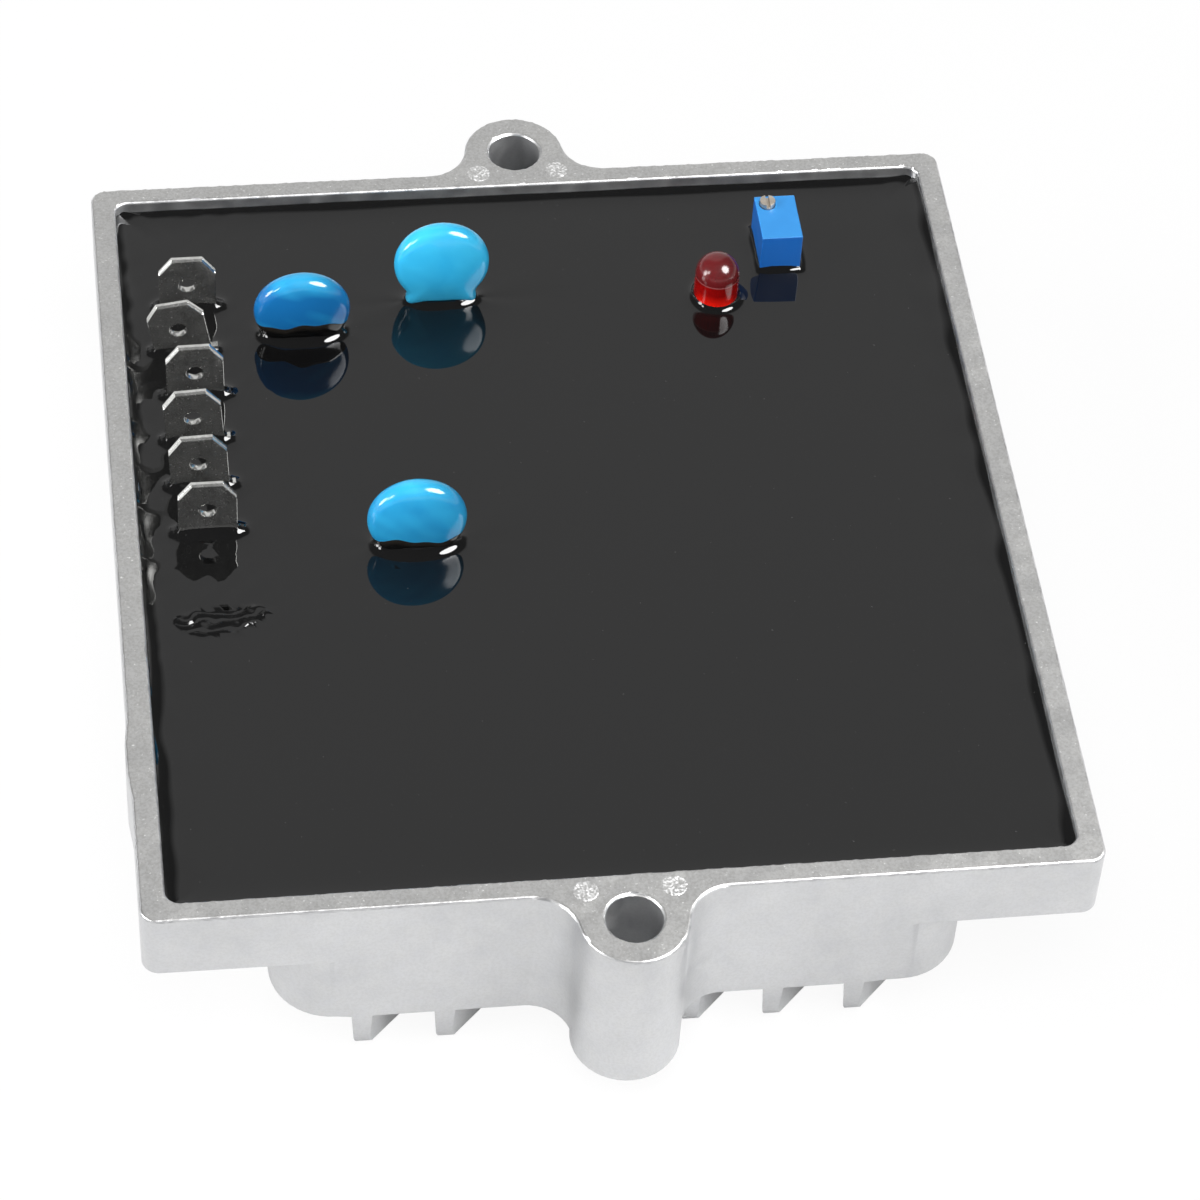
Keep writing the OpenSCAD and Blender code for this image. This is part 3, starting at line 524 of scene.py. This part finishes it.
def scar(x, y):
    """Crescent that something left in the resin in front of the frontmost blade: its dent and its mask."""
    half = (SCAR_RIGHT - SCAR_LEFT) / 2
    u = (x - SCAR_LEFT - half) / half
    v = y - SCAR_Y - 0.9 * u * u - 0.5 * u - 0.15 * ripple(x, y, 22, 2.5)
    width = SCAR_HALF * np.sqrt(np.clip(1 - u * u, 0.0001, 1)) * (1 - 0.2 * u)
    inside = ease(width - np.abs(v), -0.1, 0.3) * (np.abs(u) < 1)
    lip = np.exp(-((np.abs(v) - width) / SCAR_LIP_HALF) ** 2) * (np.abs(u) < 1)
    step = np.mod(v / SCAR_STEP + 0.3 * ripple(x, y, 21, 2.4), 1.0)
    fall = SCAR_RISE / (1 - SCAR_RISE) * (1 - step)
    scales = SCAR_SLOPE * SCAR_STEP * np.where(step < SCAR_RISE, step, fall)
    return inside * (scales + 0.02 * ripple(x, y, 23, 1.1) - SCAR_DEPTH) + SCAR_LIP * lip, inside


def closeness(x, y):
    """Distance to the nearest line where resin meets a part."""
    near = np.full_like(x, 1e3)
    for part in CLIMBERS:
        near = np.minimum(near, np.abs(from_part(part, x, y)[0]))
    return near


def resin_cells():
    """Square cells over the recess, split finer towards the parts, the walls and the scar."""
    finest = 8
    nx = round(2 * (RECESS_X + WALL_REACH))
    ny = round(2 * (RECESS_Y + WALL_REACH))
    step_x = 2 * (RECESS_X + WALL_REACH) / nx / finest
    step_y = 2 * (RECESS_Y + WALL_REACH) / ny / finest
    cells = np.array([(i * finest, j * finest) for j in range(ny) for i in range(nx)])
    leaves = []
    size = finest
    for part_reach, wall_reach in ((3.0, 3.2), (1.5, 1.6), (0.42, 0.0)):
        x = (cells[:, 0] + size / 2) * step_x - RECESS_X - WALL_REACH
        y = (cells[:, 1] + size / 2) * step_y - RECESS_Y - WALL_REACH
        wall = -box_distance(x, y, RECESS_X, RECESS_Y)
        split = (closeness(x, y) < part_reach) | (wall < wall_reach)
        split |= np.abs(scar(x, y)[0]) > 0.001
        leaves += [(i, j, size) for i, j in cells[~split]]
        half = size // 2
        parts = cells[split]
        cells = np.concatenate([parts + (a * half, b * half) for a in (0, 1) for b in (0, 1)])
        size = half
    leaves += [(i, j, size) for i, j in cells]
    return leaves, step_x, step_y


def edge_points(corners, a, b):
    """Grid points from a to b, with every corner of finer neighbours in between."""
    (ax, ay), (bx, by) = a, b
    if abs(ax - bx) + abs(ay - by) < 2:
        return [a]
    mid = ((ax + bx) // 2, (ay + by) // 2)
    if mid not in corners:
        return [a]
    return edge_points(corners, a, mid) + edge_points(corners, mid, b)


def resin_surface():
    """The visible skin of the resin, closed below inside the cast resin."""
    leaves, step_x, step_y = resin_cells()
    corners = set()
    for i, j, s in leaves:
        corners.update(((i, j), (i + s, j), (i + s, j + s), (i, j + s)))
    order = sorted(corners)
    index = {c: n for n, c in enumerate(order)}
    grid = np.array(order, dtype=float)
    x = grid[:, 0] * step_x - RECESS_X - WALL_REACH
    y = grid[:, 1] * step_y - RECESS_Y - WALL_REACH
    z = resin_height(x, y)
    faces = []
    for i, j, s in leaves:
        ring = [(i, j), (i + s, j), (i + s, j + s), (i, j + s)]
        loop = []
        for a, b in zip(ring, ring[1:] + ring[:1]):
            loop += edge_points(corners, a, b)
        faces.append([index[c] for c in loop])
    last_i = max(i for i, _ in order)
    last_j = max(j for _, j in order)
    ring = [c for c in order if c[1] == 0]
    ring += [c for c in order if c[0] == last_i and c[1] > 0]
    ring += [c for c in reversed(order) if c[1] == last_j and c[0] < last_i]
    ring += [c for c in reversed(order) if c[0] == 0 and 0 < c[1] < last_j]
    points = [(a, b, c) for a, b, c in zip(x, y, z)]
    low = len(points)
    points += [(x[index[c]], y[index[c]], SKIN_BOTTOM_Z) for c in ring]
    count = len(ring)
    for n, c in enumerate(ring):
        after = ring[(n + 1) % count]
        faces.append([index[c], low + n, low + (n + 1) % count, index[after]])
    faces.append([low + n for n in reversed(range(count))])
    mesh = mesh_from("resin_surface", points, faces)
    eps = 0.01
    slope_x = (resin_height(x + eps, y) - resin_height(x - eps, y)) / (2 * eps)
    slope_y = (resin_height(x, y + eps) - resin_height(x, y - eps)) / (2 * eps)
    normals = np.stack([-slope_x, -slope_y, np.ones_like(x)], axis=1)
    normals /= np.linalg.norm(normals, axis=1, keepdims=True)
    scuff = mesh.attributes.new("scuff", "FLOAT", "POINT")
    scuff.data.foreach_set("value", np.concatenate([scar(x, y)[1], np.zeros(count)]).astype(np.float32))
    below = np.tile([0.0, 0.0, -1.0], (count, 1))
    mesh.normals_split_custom_set_from_vertices(np.concatenate([normals, below]).tolist())
    new_piece("resin_surface", mesh, "potting_resin")


# Disc capacitors: dipped discs with a neck and a flared skirt at each lead
def disc_outline(angle):
    """Radius of the outline at an angle from straight down: round, with a flat foot and flared skirts."""
    a = abs(angle)
    bottom = DISC_FOOT / math.cos(min(a, 0.60))
    skirt = DISC_SKIRT * math.exp(-((a - 0.56) / 0.16) ** 2)
    fade = 1 / (1 + math.exp((a - 0.72) / 0.045))
    return DISC_R * (1 - fade) + (bottom + skirt) * fade


def disc_section(steps=14):
    """Half section of a disc as radius and thickness, each 0 to 1, from the face's centre to the rim."""
    flat_r = DISC_R - DISC_RIM_R
    crown = (flat_r ** 2 + DISC_HALF_T ** 2 - DISC_RIM_R ** 2) / (2 * (DISC_HALF_T - DISC_RIM_R))
    meet = flat_r * crown / (crown - DISC_RIM_R)
    section = []
    for n in range(steps):
        r = meet * n / steps
        section.append((r, DISC_HALF_T - crown + math.sqrt(crown ** 2 - r ** 2)))
    start = math.acos((meet - flat_r) / DISC_RIM_R)
    for n in range(steps + 1):
        a = start * (1 - n / steps)
        section.append((flat_r + DISC_RIM_R * math.cos(a), DISC_RIM_R * math.sin(a)))
    return section


def disc_body(k):
    """One dipped disc, a little uneven as the coating dries."""
    cx, cy, cz = disc_centre(k)
    half = disc_section()
    section = half + [(r, -t) for r, t in reversed(half[:-1])]
    turns = 144
    rows = len(section)
    points = [(0, -section[0][1], 0), (0, -section[-1][1], 0)]
    for n in range(turns):
        angle = 2 * math.pi * n / turns - math.pi
        grow = disc_outline(angle) / DISC_R
        low = math.exp(-(angle / 0.62) ** 4)
        for r, t in section[1:-1]:
            share = (r / DISC_R) ** 3
            radius = r * (1 + (grow - 1) * share)
            thick = t * (1 - 0.30 * low * share)
            points.append((radius * math.sin(angle), -thick, -radius * math.cos(angle)))
    inner = rows - 2
    faces = []
    for n in range(turns):
        a = 2 + n * inner
        b = 2 + (n + 1) % turns * inner
        faces.append([0, a, b])
        faces += [[a + m, a + m + 1, b + m + 1, b + m] for m in range(inner - 1)]
        faces.append([1, b + inner - 1, a + inner - 1])
    wobble = 0.05
    fade = 2.6
    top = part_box(f"disc_capacitor_{k}")[1][2] / MM
    turn = Matrix.Rotation(math.radians(-DISC_LEAN[k]), 3, "X")
    moved = []
    dry = []
    shade = []
    for p in points:
        uneven = noise.noise(Vector(p) * 0.33 + Vector((k * 7.0, 0, 0)))
        v = Vector(p) * (1 + wobble * uneven / DISC_R)
        moved.append(turn @ v + Vector((cx, cy, cz)))
        moved[-1].z = min(moved[-1].z, top)
        edge = RESIN_Z + DISC_FILM[k] + 0.34 * math.sin(p[0] * 0.75 + k) + 0.16 * math.sin(p[0] * 1.9 + 2 * k)
        dry.append(moved[-1].z - edge)
        # Painted shade: darker lower down on the disc and in patches, between the disc's own levels at top
        # and foot
        low = min(max((cz + DISC_R - moved[-1].z) / fade, 0), 1)
        patch = 0.45 * noise.noise(Vector((p[0] + p[2], p[2], k)) * 0.45)
        shade.append(DISC_PAINTED_SHADE[k][0] + (DISC_PAINTED_SHADE[k][1] - DISC_PAINTED_SHADE[k][0]) * (low + patch))
    mesh = mesh_from(f"disc_body_{k}", moved, faces)
    mesh.attributes.new("dry", "FLOAT", "POINT").data.foreach_set("value", dry)
    mesh.attributes.new("shade", "FLOAT", "POINT").data.foreach_set("value", shade)
    obj = new_piece(f"disc_body_{k}", mesh, "blue_coating")
    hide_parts(f"disc_capacitor_{k}")


def lens_dome():
    """The lamp's lens: collar, slightly tapered barrel and dome, turned in fine steps."""
    low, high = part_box("lamp_lens")
    cx, cy, _ = middle("lamp_lens")
    foot = low[2] / MM
    top = high[2] / MM
    collar_r = (high[0] - low[0]) / 2 / MM
    steps = 20
    profile = [(0, foot), (collar_r - 0.1, foot), (collar_r, foot + 0.1), (collar_r, foot + 0.9),
               (collar_r - 0.1, foot + 1), (LENS_R + 0.06, foot + 1), (LENS_R + 0.01, foot + 1.1)]
    profile += [(LENS_R * math.cos(a), top - LENS_R + LENS_R * math.sin(a))
                for a in (n / steps * math.pi / 2 for n in range(steps))]
    turns = 96
    points = [(cx, cy, foot), (cx, cy, top)]
    ring = profile[1:]
    for n in range(turns):
        a = 2 * math.pi * n / turns
        points += [(cx + r * math.cos(a), cy + r * math.sin(a), z) for r, z in ring]
    rows = len(ring)
    faces = []
    for n in range(turns):
        a = 2 + n * rows
        b = 2 + (n + 1) % turns * rows
        faces.append([0, b, a])
        faces += [[a + m, b + m, b + m + 1, a + m + 1] for m in range(rows - 1)]
        faces.append([1, a + rows - 1, b + rows - 1])
    obj = new_piece("lens_dome", mesh_from("lens_dome", points, faces), "lamp_lens")
    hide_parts("lamp_lens")


# Housing: the casting with its edges broken, burrs along the rim, ejector marks and fins
# Levels of the box's underside and of the flange's, and the tolerance for finding a level
BOX_BOTTOM_Z = 5.1
FLANGE_BOTTOM_Z = 14.5
LEVEL = 0.01
# Ends of the webs between the box and the ears, where the box's lower edge stays sharp
WEB_HALF_X = 10.3
WEB_Y = 52.8
BOX_EDGE = 0.4
FLANGE_EDGE = 0.15

# Fins: their spacing, the shift of the middle one, half the width of the tips and their rounding
FIN_PITCH = 6.03
FIN_SHIFT = 0.35
FIN_TIP_HALF = 0.525
FIN_ROUND = 0.5
# Draft of each side, in millimetres of half width per millimetre of height
FIN_DRAFT = 0.045
# Radius of the lower corner at each end
FIN_NOSE = 1.5
# Underside of the casting's own stubs, hidden in the fins, and the fins' end inside the box's floor
FIN_STUB_Z = 4.6
FIN_TOP = 5.2

# Rim edge: the width of its broken edge, the length of its parts, and the depth of the burrs
RIM_EDGE = 0.32
BURR_STEP = 0.45
BURR_DEPTH = 0.3


def casting_mesh(node):
    """Welded copy of a CAD node with its flat faces joined up, for bevelling."""
    bm = bmesh.new()
    bm.from_mesh(NODES[node].data)
    bmesh.ops.remove_doubles(bm, verts=bm.verts, dist=0.001 * MM)
    bmesh.ops.dissolve_limit(bm, angle_limit=math.radians(0.5), use_dissolve_boundaries=False,
                             verts=bm.verts, edges=bm.edges)
    return bm


def sharp_edges(bm, test, angle=30):
    """Outer edges with a corner of over an angle, both ends of which pass a test."""
    limit = math.radians(angle)
    return [e for e in bm.edges if len(e.link_faces) == 2 and e.is_convex and e.calc_face_angle(0) > limit
            and all(test(v.co / MM) for v in e.verts)]


def bevel(bm, edges, width, segments):
    """Rounds edges and returns the new faces."""
    made = bmesh.ops.bevel(bm, geom=edges, offset=width * MM, offset_type="OFFSET", segments=segments,
                           profile=0.5, affect="EDGES", clamp_overlap=False)
    return made["faces"]


def cut_up(bm, edges, step):
    """Cuts long edges into steps and returns all their parts."""
    parts = []
    for edge in edges:
        cuts = int(edge.calc_length() / MM / step)
        if cuts > 0:
            made = bmesh.ops.subdivide_edges(bm, edges=[edge], cuts=cuts)
            parts += [e for e in made["geom_split"] if isinstance(e, bmesh.types.BMEdge)]
        else:
            parts.append(edge)
    return list(dict.fromkeys(parts))


def fin_runs():
    """Each fin's place across the fins, and where the solid's two lower edges end along it."""
    root2 = math.sqrt(2)
    tips = [v.co / MM for v in NODES["housing"].data.vertices if v.co.z < LEVEL * MM]
    runs = []
    for k in range(-12, 13):
        centre = -(k * FIN_PITCH + FIN_SHIFT)
        sides = []
        for line in (centre - FIN_TIP_HALF, centre + FIN_TIP_HALF):
            ends = []
            for along in sorted((p.x + p.y) / root2 for p in tips if abs((p.y - p.x) / root2 - line) < 0.02):
                if not ends or along - ends[-1] > 0.05:
                    ends.append(along)
            sides.append(ends)
        for n in range(0, min(len(sides[0]), len(sides[1])) - 1, 2):
            runs.append((centre, sides[0][n:n + 2], sides[1][n:n + 2]))
    return runs


def cooling_fins():
    """The slanted fins: tapered, with rounded tips, their lower corners rounded off at both ends."""
    root2 = math.sqrt(2)
    turn = [n * math.pi / 12 for n in range(6)]
    levels = [FIN_ROUND * (1 - math.cos(a)) for a in turn]
    levels += [FIN_ROUND, 0.6, 0.85, 1.15, FIN_NOSE, 3.0, FIN_TOP]
    points = []
    faces = []
    for centre, first, second in fin_runs():
        nose = min(FIN_NOSE, 0.4 * (first[1] - first[0]))
        start = len(points)
        for z in levels:
            half = FIN_TIP_HALF + FIN_DRAFT * z + 0.005
            if z < FIN_ROUND:
                half -= FIN_ROUND - math.sqrt(FIN_ROUND ** 2 - (FIN_ROUND - z) ** 2)
            back = nose - math.sqrt(nose ** 2 - max(nose - z, 0) ** 2) + 0.02
            corners = []
            for side in (-1, 1):
                share = 0.5 + side * half / FIN_TIP_HALF / 2
                low = first[0] + (second[0] - first[0]) * share + back
                high = first[1] + (second[1] - first[1]) * share - back
                ends = (low, high) if side < 0 else (high, low)
                corners += [(along, centre + side * half) for along in ends]
            points += [((along - across) / root2, (along + across) / root2, z) for along, across in corners]
        for n in range(len(levels) - 1):
            a = start + 4 * n
            faces += [[a + m, a + (m + 1) % 4, a + 4 + (m + 1) % 4, a + 4 + m] for m in range(4)]
        faces.append([start + 3, start + 2, start + 1, start])
        faces.append([len(points) - 4 + m for m in range(4)])
    mesh = mesh_from("cooling_fins", points, faces)
    mesh.set_sharp_from_angle(angle=math.radians(35))
    new_piece("cooling_fins", mesh, "cast_aluminium")


def on_box_edge(p):
    """Whether a point lies on the box's lower edge, outside the webs of the ears."""
    return abs(p.z - BOX_BOTTOM_Z) < LEVEL and (abs(p.x) > WEB_HALF_X or abs(p.y) < WEB_Y)


def housing_casting():
    """The casting: ragged burrs on the rim's edges, softer edges below, stubs for fins, a smooth inlet."""
    bm = casting_mesh("housing")
    wall_x = min(v.co.x for v in bm.verts if abs(v.co.y) > 45 * MM)
    inlet = [v for v in bm.verts if v.co.x < wall_x - 0.1 * MM]
    inlet_y = sum(v.co.y for v in inlet) / len(inlet)
    for v in inlet:
        v.co.y = inlet_y + (v.co.y - inlet_y) * 0.35
    for v in bm.verts:
        if v.co.z < LEVEL * MM:
            v.co.z = FIN_STUB_Z * MM
    bevel(bm, sharp_edges(bm, on_box_edge, 60), BOX_EDGE, 3)
    bevel(bm, sharp_edges(bm, lambda p: abs(p.z - FLANGE_BOTTOM_Z) < LEVEL, 60), FLANGE_EDGE, 2)
    at_rim = cut_up(bm, sharp_edges(bm, lambda p: p.z > RIM_Z - LEVEL), BURR_STEP)
    rim_faces = bevel(bm, at_rim, RIM_EDGE, 2)
    burr_verts = {v for f in rim_faces for v in f.verts}
    bm.normal_update()
    crest = RIM_Z - 0.293 * RIM_EDGE
    moves = [(v, v.normal * abs(noise.noise(v.co / MM * 1.1)) * BURR_DEPTH * MM) for v in burr_verts
             if abs(v.co.z / MM - crest) < 0.03]
    for v, move in moves:
        v.co -= move
    # This attribute marks the broken rim edges that the aluminium paints near white: real burrs with a
    # painted highlight
    burr_and_painted_highlight = bm.verts.layers.float.new("burr_and_painted_highlight")
    for v in bm.verts:
        v[burr_and_painted_highlight] = 1.0 if v in burr_verts else 0.0
    mesh = bpy.data.meshes.new("housing_casting")
    bm.to_mesh(mesh)
    bm.free()
    mesh.shade_smooth()
    mesh.set_sharp_from_angle(angle=math.radians(35))
    obj = new_piece("housing_casting", mesh, "cast_aluminium")
    flat = obj.modifiers.new("flat", "WEIGHTED_NORMAL")
    flat.keep_sharp = True
    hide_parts("housing")


# Places of the ejector marks on the ears
MARK_X = 4.5
FRONT_MARK_Y = -52.5
BACK_MARK_Y = 52.7


def rim_marks():
    """Shallow rough discs that the ejector pins left on the ears."""
    points = []
    faces = []
    radius = 1.35
    rise = 0.03
    rings = 14
    turns = 60
    # The marks' pale specks go into the same attribute as the rim's burrs, which the aluminium paints near
    # white
    burr_and_painted_highlight = []
    for cx, cy in [(x, y) for y in (FRONT_MARK_Y, BACK_MARK_Y) for x in (-MARK_X, MARK_X)]:
        first = len(points)
        points.append((cx, cy, RIM_Z + rise))
        burr_and_painted_highlight.append(0.3)
        for ring in range(1, rings + 1):
            r = radius * ring / rings
            for n in range(turns):
                a = 2 * math.pi * n / turns
                x = cx + r * math.cos(a)
                y = cy + r * math.sin(a)
                grit = noise.noise(Vector((x, y, 0)) * 4.3)
                points.append((x, y, RIM_Z + (rise + 0.05 * grit if ring < rings else -rise)))
                burr_and_painted_highlight.append(min(max(0.35 + 1.6 * grit, 0), 1))
        for n in range(turns):
            faces.append([first, first + 1 + n, first + 1 + (n + 1) % turns])
            for ring in range(rings - 1):
                a = first + 1 + ring * turns
                faces.append([a + n, a + turns + n, a + turns + (n + 1) % turns, a + (n + 1) % turns])
    mesh = mesh_from("rim_marks", points, faces)
    mesh.attributes.new("burr_and_painted_highlight", "FLOAT", "POINT").data.foreach_set("value", burr_and_painted_highlight)
    new_piece("rim_marks", mesh, "cast_aluminium")


# Height of a blade's nose, its shortest edge that is coined, and the width of the coining
NOSE_H = 2.3
NOSE_EDGE = 1.2
NOSE_COIN = 0.2


def blade(k):
    """One blade terminal, with the edges of its nose coined off."""
    bm = casting_mesh(f"terminal_{k}")
    top = max(v.co.z for v in bm.verts) / MM
    nose = [e for e in sharp_edges(bm, lambda p: p.z > top - NOSE_H)
            if abs(e.verts[0].co.y - e.verts[1].co.y) < 0.01 * MM and e.calc_length() > NOSE_EDGE * MM]
    bevel(bm, nose, NOSE_COIN, 1)
    mesh = bpy.data.meshes.new(f"blade_{k}")
    bm.to_mesh(mesh)
    bm.free()
    obj = new_piece(f"blade_{k}", mesh, "tinned_brass")
    soften(obj, 0.05)
    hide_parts(f"terminal_{k}")


def soften(obj, width, segments=2):
    """Breaks the edges of an object by modifiers, with its mesh as it was."""
    weld = obj.modifiers.new("weld", "WELD")
    weld.merge_threshold = 0.001 * MM
    edge = obj.modifiers.new("edge", "BEVEL")
    edge.width = width * MM
    edge.segments = segments
    edge.limit_method = "ANGLE"
    edge.angle_limit = math.radians(40)
    edge.use_clamp_overlap = False
    flat = obj.modifiers.new("flat", "WEIGHTED_NORMAL")
    flat.keep_sharp = True


# Camera: solved from the photograph, in the tray's own frame. Angles in degrees
CAMERA_SWING = -9.988
CAMERA_RISE = 48.13
CAMERA_ROLL = 4.181
# The point that it looks at in millimetres, how far off it stands in metres, and its lens
CAMERA_TARGET = (1.616, -13.781, RIM_Z)
CAMERA_OFF = 0.48793
CAMERA_LENS = 138.28


def camera():
    """The camera that took the photograph."""
    swing, rise, roll = (math.radians(a) for a in (CAMERA_SWING, CAMERA_RISE, CAMERA_ROLL))
    back = Vector((math.sin(swing) * math.cos(rise), -math.cos(swing) * math.cos(rise), math.sin(rise)))
    right = Vector((math.cos(swing), math.sin(swing), 0))
    up = back.cross(right)
    right, up = (math.cos(roll) * right + math.sin(roll) * up, math.cos(roll) * up - math.sin(roll) * right)
    target = Vector(CAMERA_TARGET) * MM
    data = bpy.data.cameras.new("camera")
    data.sensor_width = 36
    data.lens = CAMERA_LENS
    data.clip_start = 0.01
    obj = bpy.data.objects.new("camera", data)
    turn = Matrix((right, up, back)).transposed().to_4x4()
    obj.matrix_world = Matrix.Translation(target + back * CAMERA_OFF) @ turn
    bpy.context.collection.objects.link(obj)
    bpy.context.scene.camera = obj


# Light: a surround that gloss sees as a window, soft lamps for the highlights, others for matt faces
# Brightness of the surround in gloss, dark and bright, and on matt faces
GLOSS_DARK = 0.17
GLOSS_BRIGHT = 0.77
MATT_LEVEL = 0.30


def world():
    """Glossy rays see a pale window behind the tray and a pale horizon, the rest is dark."""
    scene_world = bpy.data.worlds.new("studio")
    scene_world.use_nodes = True
    bpy.context.scene.world = scene_world
    tree = scene_world.node_tree
    axes = add(tree, "SeparateXYZ", {0: add(tree, "TexCoord").outputs["Generated"]}).outputs
    turn = add(tree, "Math", {0: axes["X"], 1: axes["Y"]}, operation="ARCTAN2").outputs[0]
    window = span(tree, axes["Y"], 0, 1, 0.28, 0.42)
    for start, end in ((-0.75, -0.5), (0.70, 0.52)):
        side = span(tree, turn, 0, 1, start, end)
        window = add(tree, "Math", {0: window, 1: side}, operation="MULTIPLY").outputs[0]
    low = span(tree, axes["Z"], 1, 0, 0.02, 0.22)
    bright = add(tree, "Math", {0: window, 1: low}, operation="MAXIMUM").outputs[0]
    gloss = span(tree, bright, GLOSS_DARK, GLOSS_BRIGHT, 0, 1)
    path = add(tree, "LightPath")
    sharp = add(tree, "Math", {0: path.outputs["Is Glossy Ray"], 1: path.outputs["Is Transmission Ray"]},
                operation="MAXIMUM").outputs[0]
    level = add(tree, "Mix", {0: sharp, 2: MATT_LEVEL, 3: gloss}).outputs[0]
    strength = add(tree, "Math", {0: level, 1: path.outputs["Is Camera Ray"]}, operation="MAXIMUM").outputs[0]
    feed(tree, tree.nodes["Background"], {"Color": (1, 1, 1, 1), "Strength": strength})


def lamp(name, azimuth, rise, width, height, level, gloss, distance=1.0):
    """Area lamp towards the tray; azimuth runs from +Y to +X, level is its own brightness."""
    az, el = math.radians(azimuth), math.radians(rise)
    way = Vector((math.sin(az) * math.cos(el), math.cos(az) * math.cos(el), math.sin(el)))
    data = bpy.data.lights.new(name, "AREA")
    data.shape = "ELLIPSE"
    data.size = width
    data.size_y = height
    data.energy = level * width * height * math.pi ** 2 / 4
    obj = bpy.data.objects.new(name, data)
    obj.location = way * distance + Vector((0, 0, 0.02))
    obj.rotation_euler = way.to_track_quat("Z", "Y").to_euler()
    obj.visible_camera = False
    obj.visible_diffuse = not gloss
    obj.visible_glossy = gloss
    bpy.context.collection.objects.link(obj)


# Floor: how far below the fins it lies, half the footprint where gloss sees a painted shadow, and its own
# glow
FLOOR_DROP = 0.2
FOOTPRINT = (("X", 38), ("Y", 60))
FOOTPRINT_FADE_IN = 6
FOOTPRINT_FADE_OUT = 8
FLOOR_GLOW = 0.92
FLOOR_COLOUR = (0.9, 0.9, 0.9)
FLOOR_PAINTED_SHADOW = (0.62, 0.62, 0.62)


def floor():
    """Pale floor: near white to the eye and in gloss, with the tray's shadow, and a painted shadow under the
    tray that only gloss sees.
    """
    mesh = bpy.data.meshes.new("floor")
    half = 4.0
    corners = [(-half, -half, 0), (half, -half, 0), (half, half, 0), (-half, half, 0)]
    mesh.from_pydata(corners, [], [(0, 1, 2, 3)])
    obj = bpy.data.objects.new("floor", mesh)
    obj.location.z = -FLOOR_DROP * MM
    bpy.context.collection.objects.link(obj)
    mat = bpy.data.materials.new("floor")
    mat.use_nodes = True
    tree = mat.node_tree
    tree.nodes.clear()
    path = add(tree, "LightPath")
    axes = add(tree, "SeparateXYZ", {0: add(tree, "TexCoord").outputs["Object"]}).outputs
    outside = 0.0
    for axis, reach in FOOTPRINT:
        off = add(tree, "Math", {0: axes[axis]}, operation="ABSOLUTE").outputs[0]
        beyond = span(tree, off, 0, 1, (reach - FOOTPRINT_FADE_IN) * MM, (reach + FOOTPRINT_FADE_OUT) * MM)
        outside = add(tree, "Math", {0: beyond, 1: outside}, operation="MAXIMUM").outputs[0]
    # Painted shadow: under the tray, glossy rays see a darker floor colour and no glow
    under = add(tree, "Math", {0: 1.0, 1: outside}, operation="SUBTRACT").outputs[0]
    shiny = path.outputs["Is Glossy Ray"]
    painted_shadow_mask = add(tree, "Math", {0: shiny, 1: under}, operation="MULTIPLY").outputs[0]
    matt = add(tree, "BsdfDiffuse", {"Color": blend(tree, painted_shadow_mask, FLOOR_COLOUR, FLOOR_PAINTED_SHADOW)}).outputs[0]
    glow = add(tree, "Emission", {"Color": (1, 1, 1, 1), "Strength": 1.0}).outputs[0]
    mirrored = add(tree, "Math", {0: shiny, 1: outside}, operation="MULTIPLY").outputs[0]
    seen = add(tree, "Math", {0: path.outputs["Is Camera Ray"], 1: mirrored}, operation="MAXIMUM").outputs[0]
    fac = add(tree, "Math", {0: seen, 1: FLOOR_GLOW}, operation="MULTIPLY").outputs[0]
    mixed = add(tree, "MixShader", {0: fac, 1: matt, 2: glow}).outputs[0]
    add(tree, "OutputMaterial", {"Surface": mixed})
    mesh.materials.append(mat)


def lamps():
    """Three lamps that only gloss sees, for the highlights, and three that only matt faces see."""
    lamp("right_lamp", azimuth=120, rise=48, width=0.62, height=0.66, level=24, gloss=True)
    lamp("left_lamp", azimuth=-98, rise=14, width=0.34, height=0.40, level=16, gloss=True)
    lamp("left_streak", azimuth=-113, rise=29, width=0.18, height=0.30, level=15, gloss=True)
    lamp("top_light", azimuth=178, rise=62, width=0.9, height=0.9, level=3.7, gloss=False)
    lamp("front_light", azimuth=190, rise=22, width=0.7, height=0.7, level=1.3, gloss=False)
    lamp("side_light", azimuth=-95, rise=28, width=0.7, height=0.7, level=6.0, gloss=False)


def main():
    camera()
    for part in frame["record"]["subparts"]:
        dress(NODES[part["node"]], part["material_slot"])
    for k in range(1, 7):
        blade(k)
    soften(NODES["trimmer_case"], 0.1)
    soften(NODES["trimmer_screw"], 0.05)
    housing_casting()
    cooling_fins()
    resin_surface()
    for k in (1, 2, 3):
        disc_body(k)
    lens_dome()
    rim_marks()
    floor()
    world()
    lamps()
    bpy.context.scene.view_settings.view_transform = "Standard"


main()
bpy.context.view_layer.update()
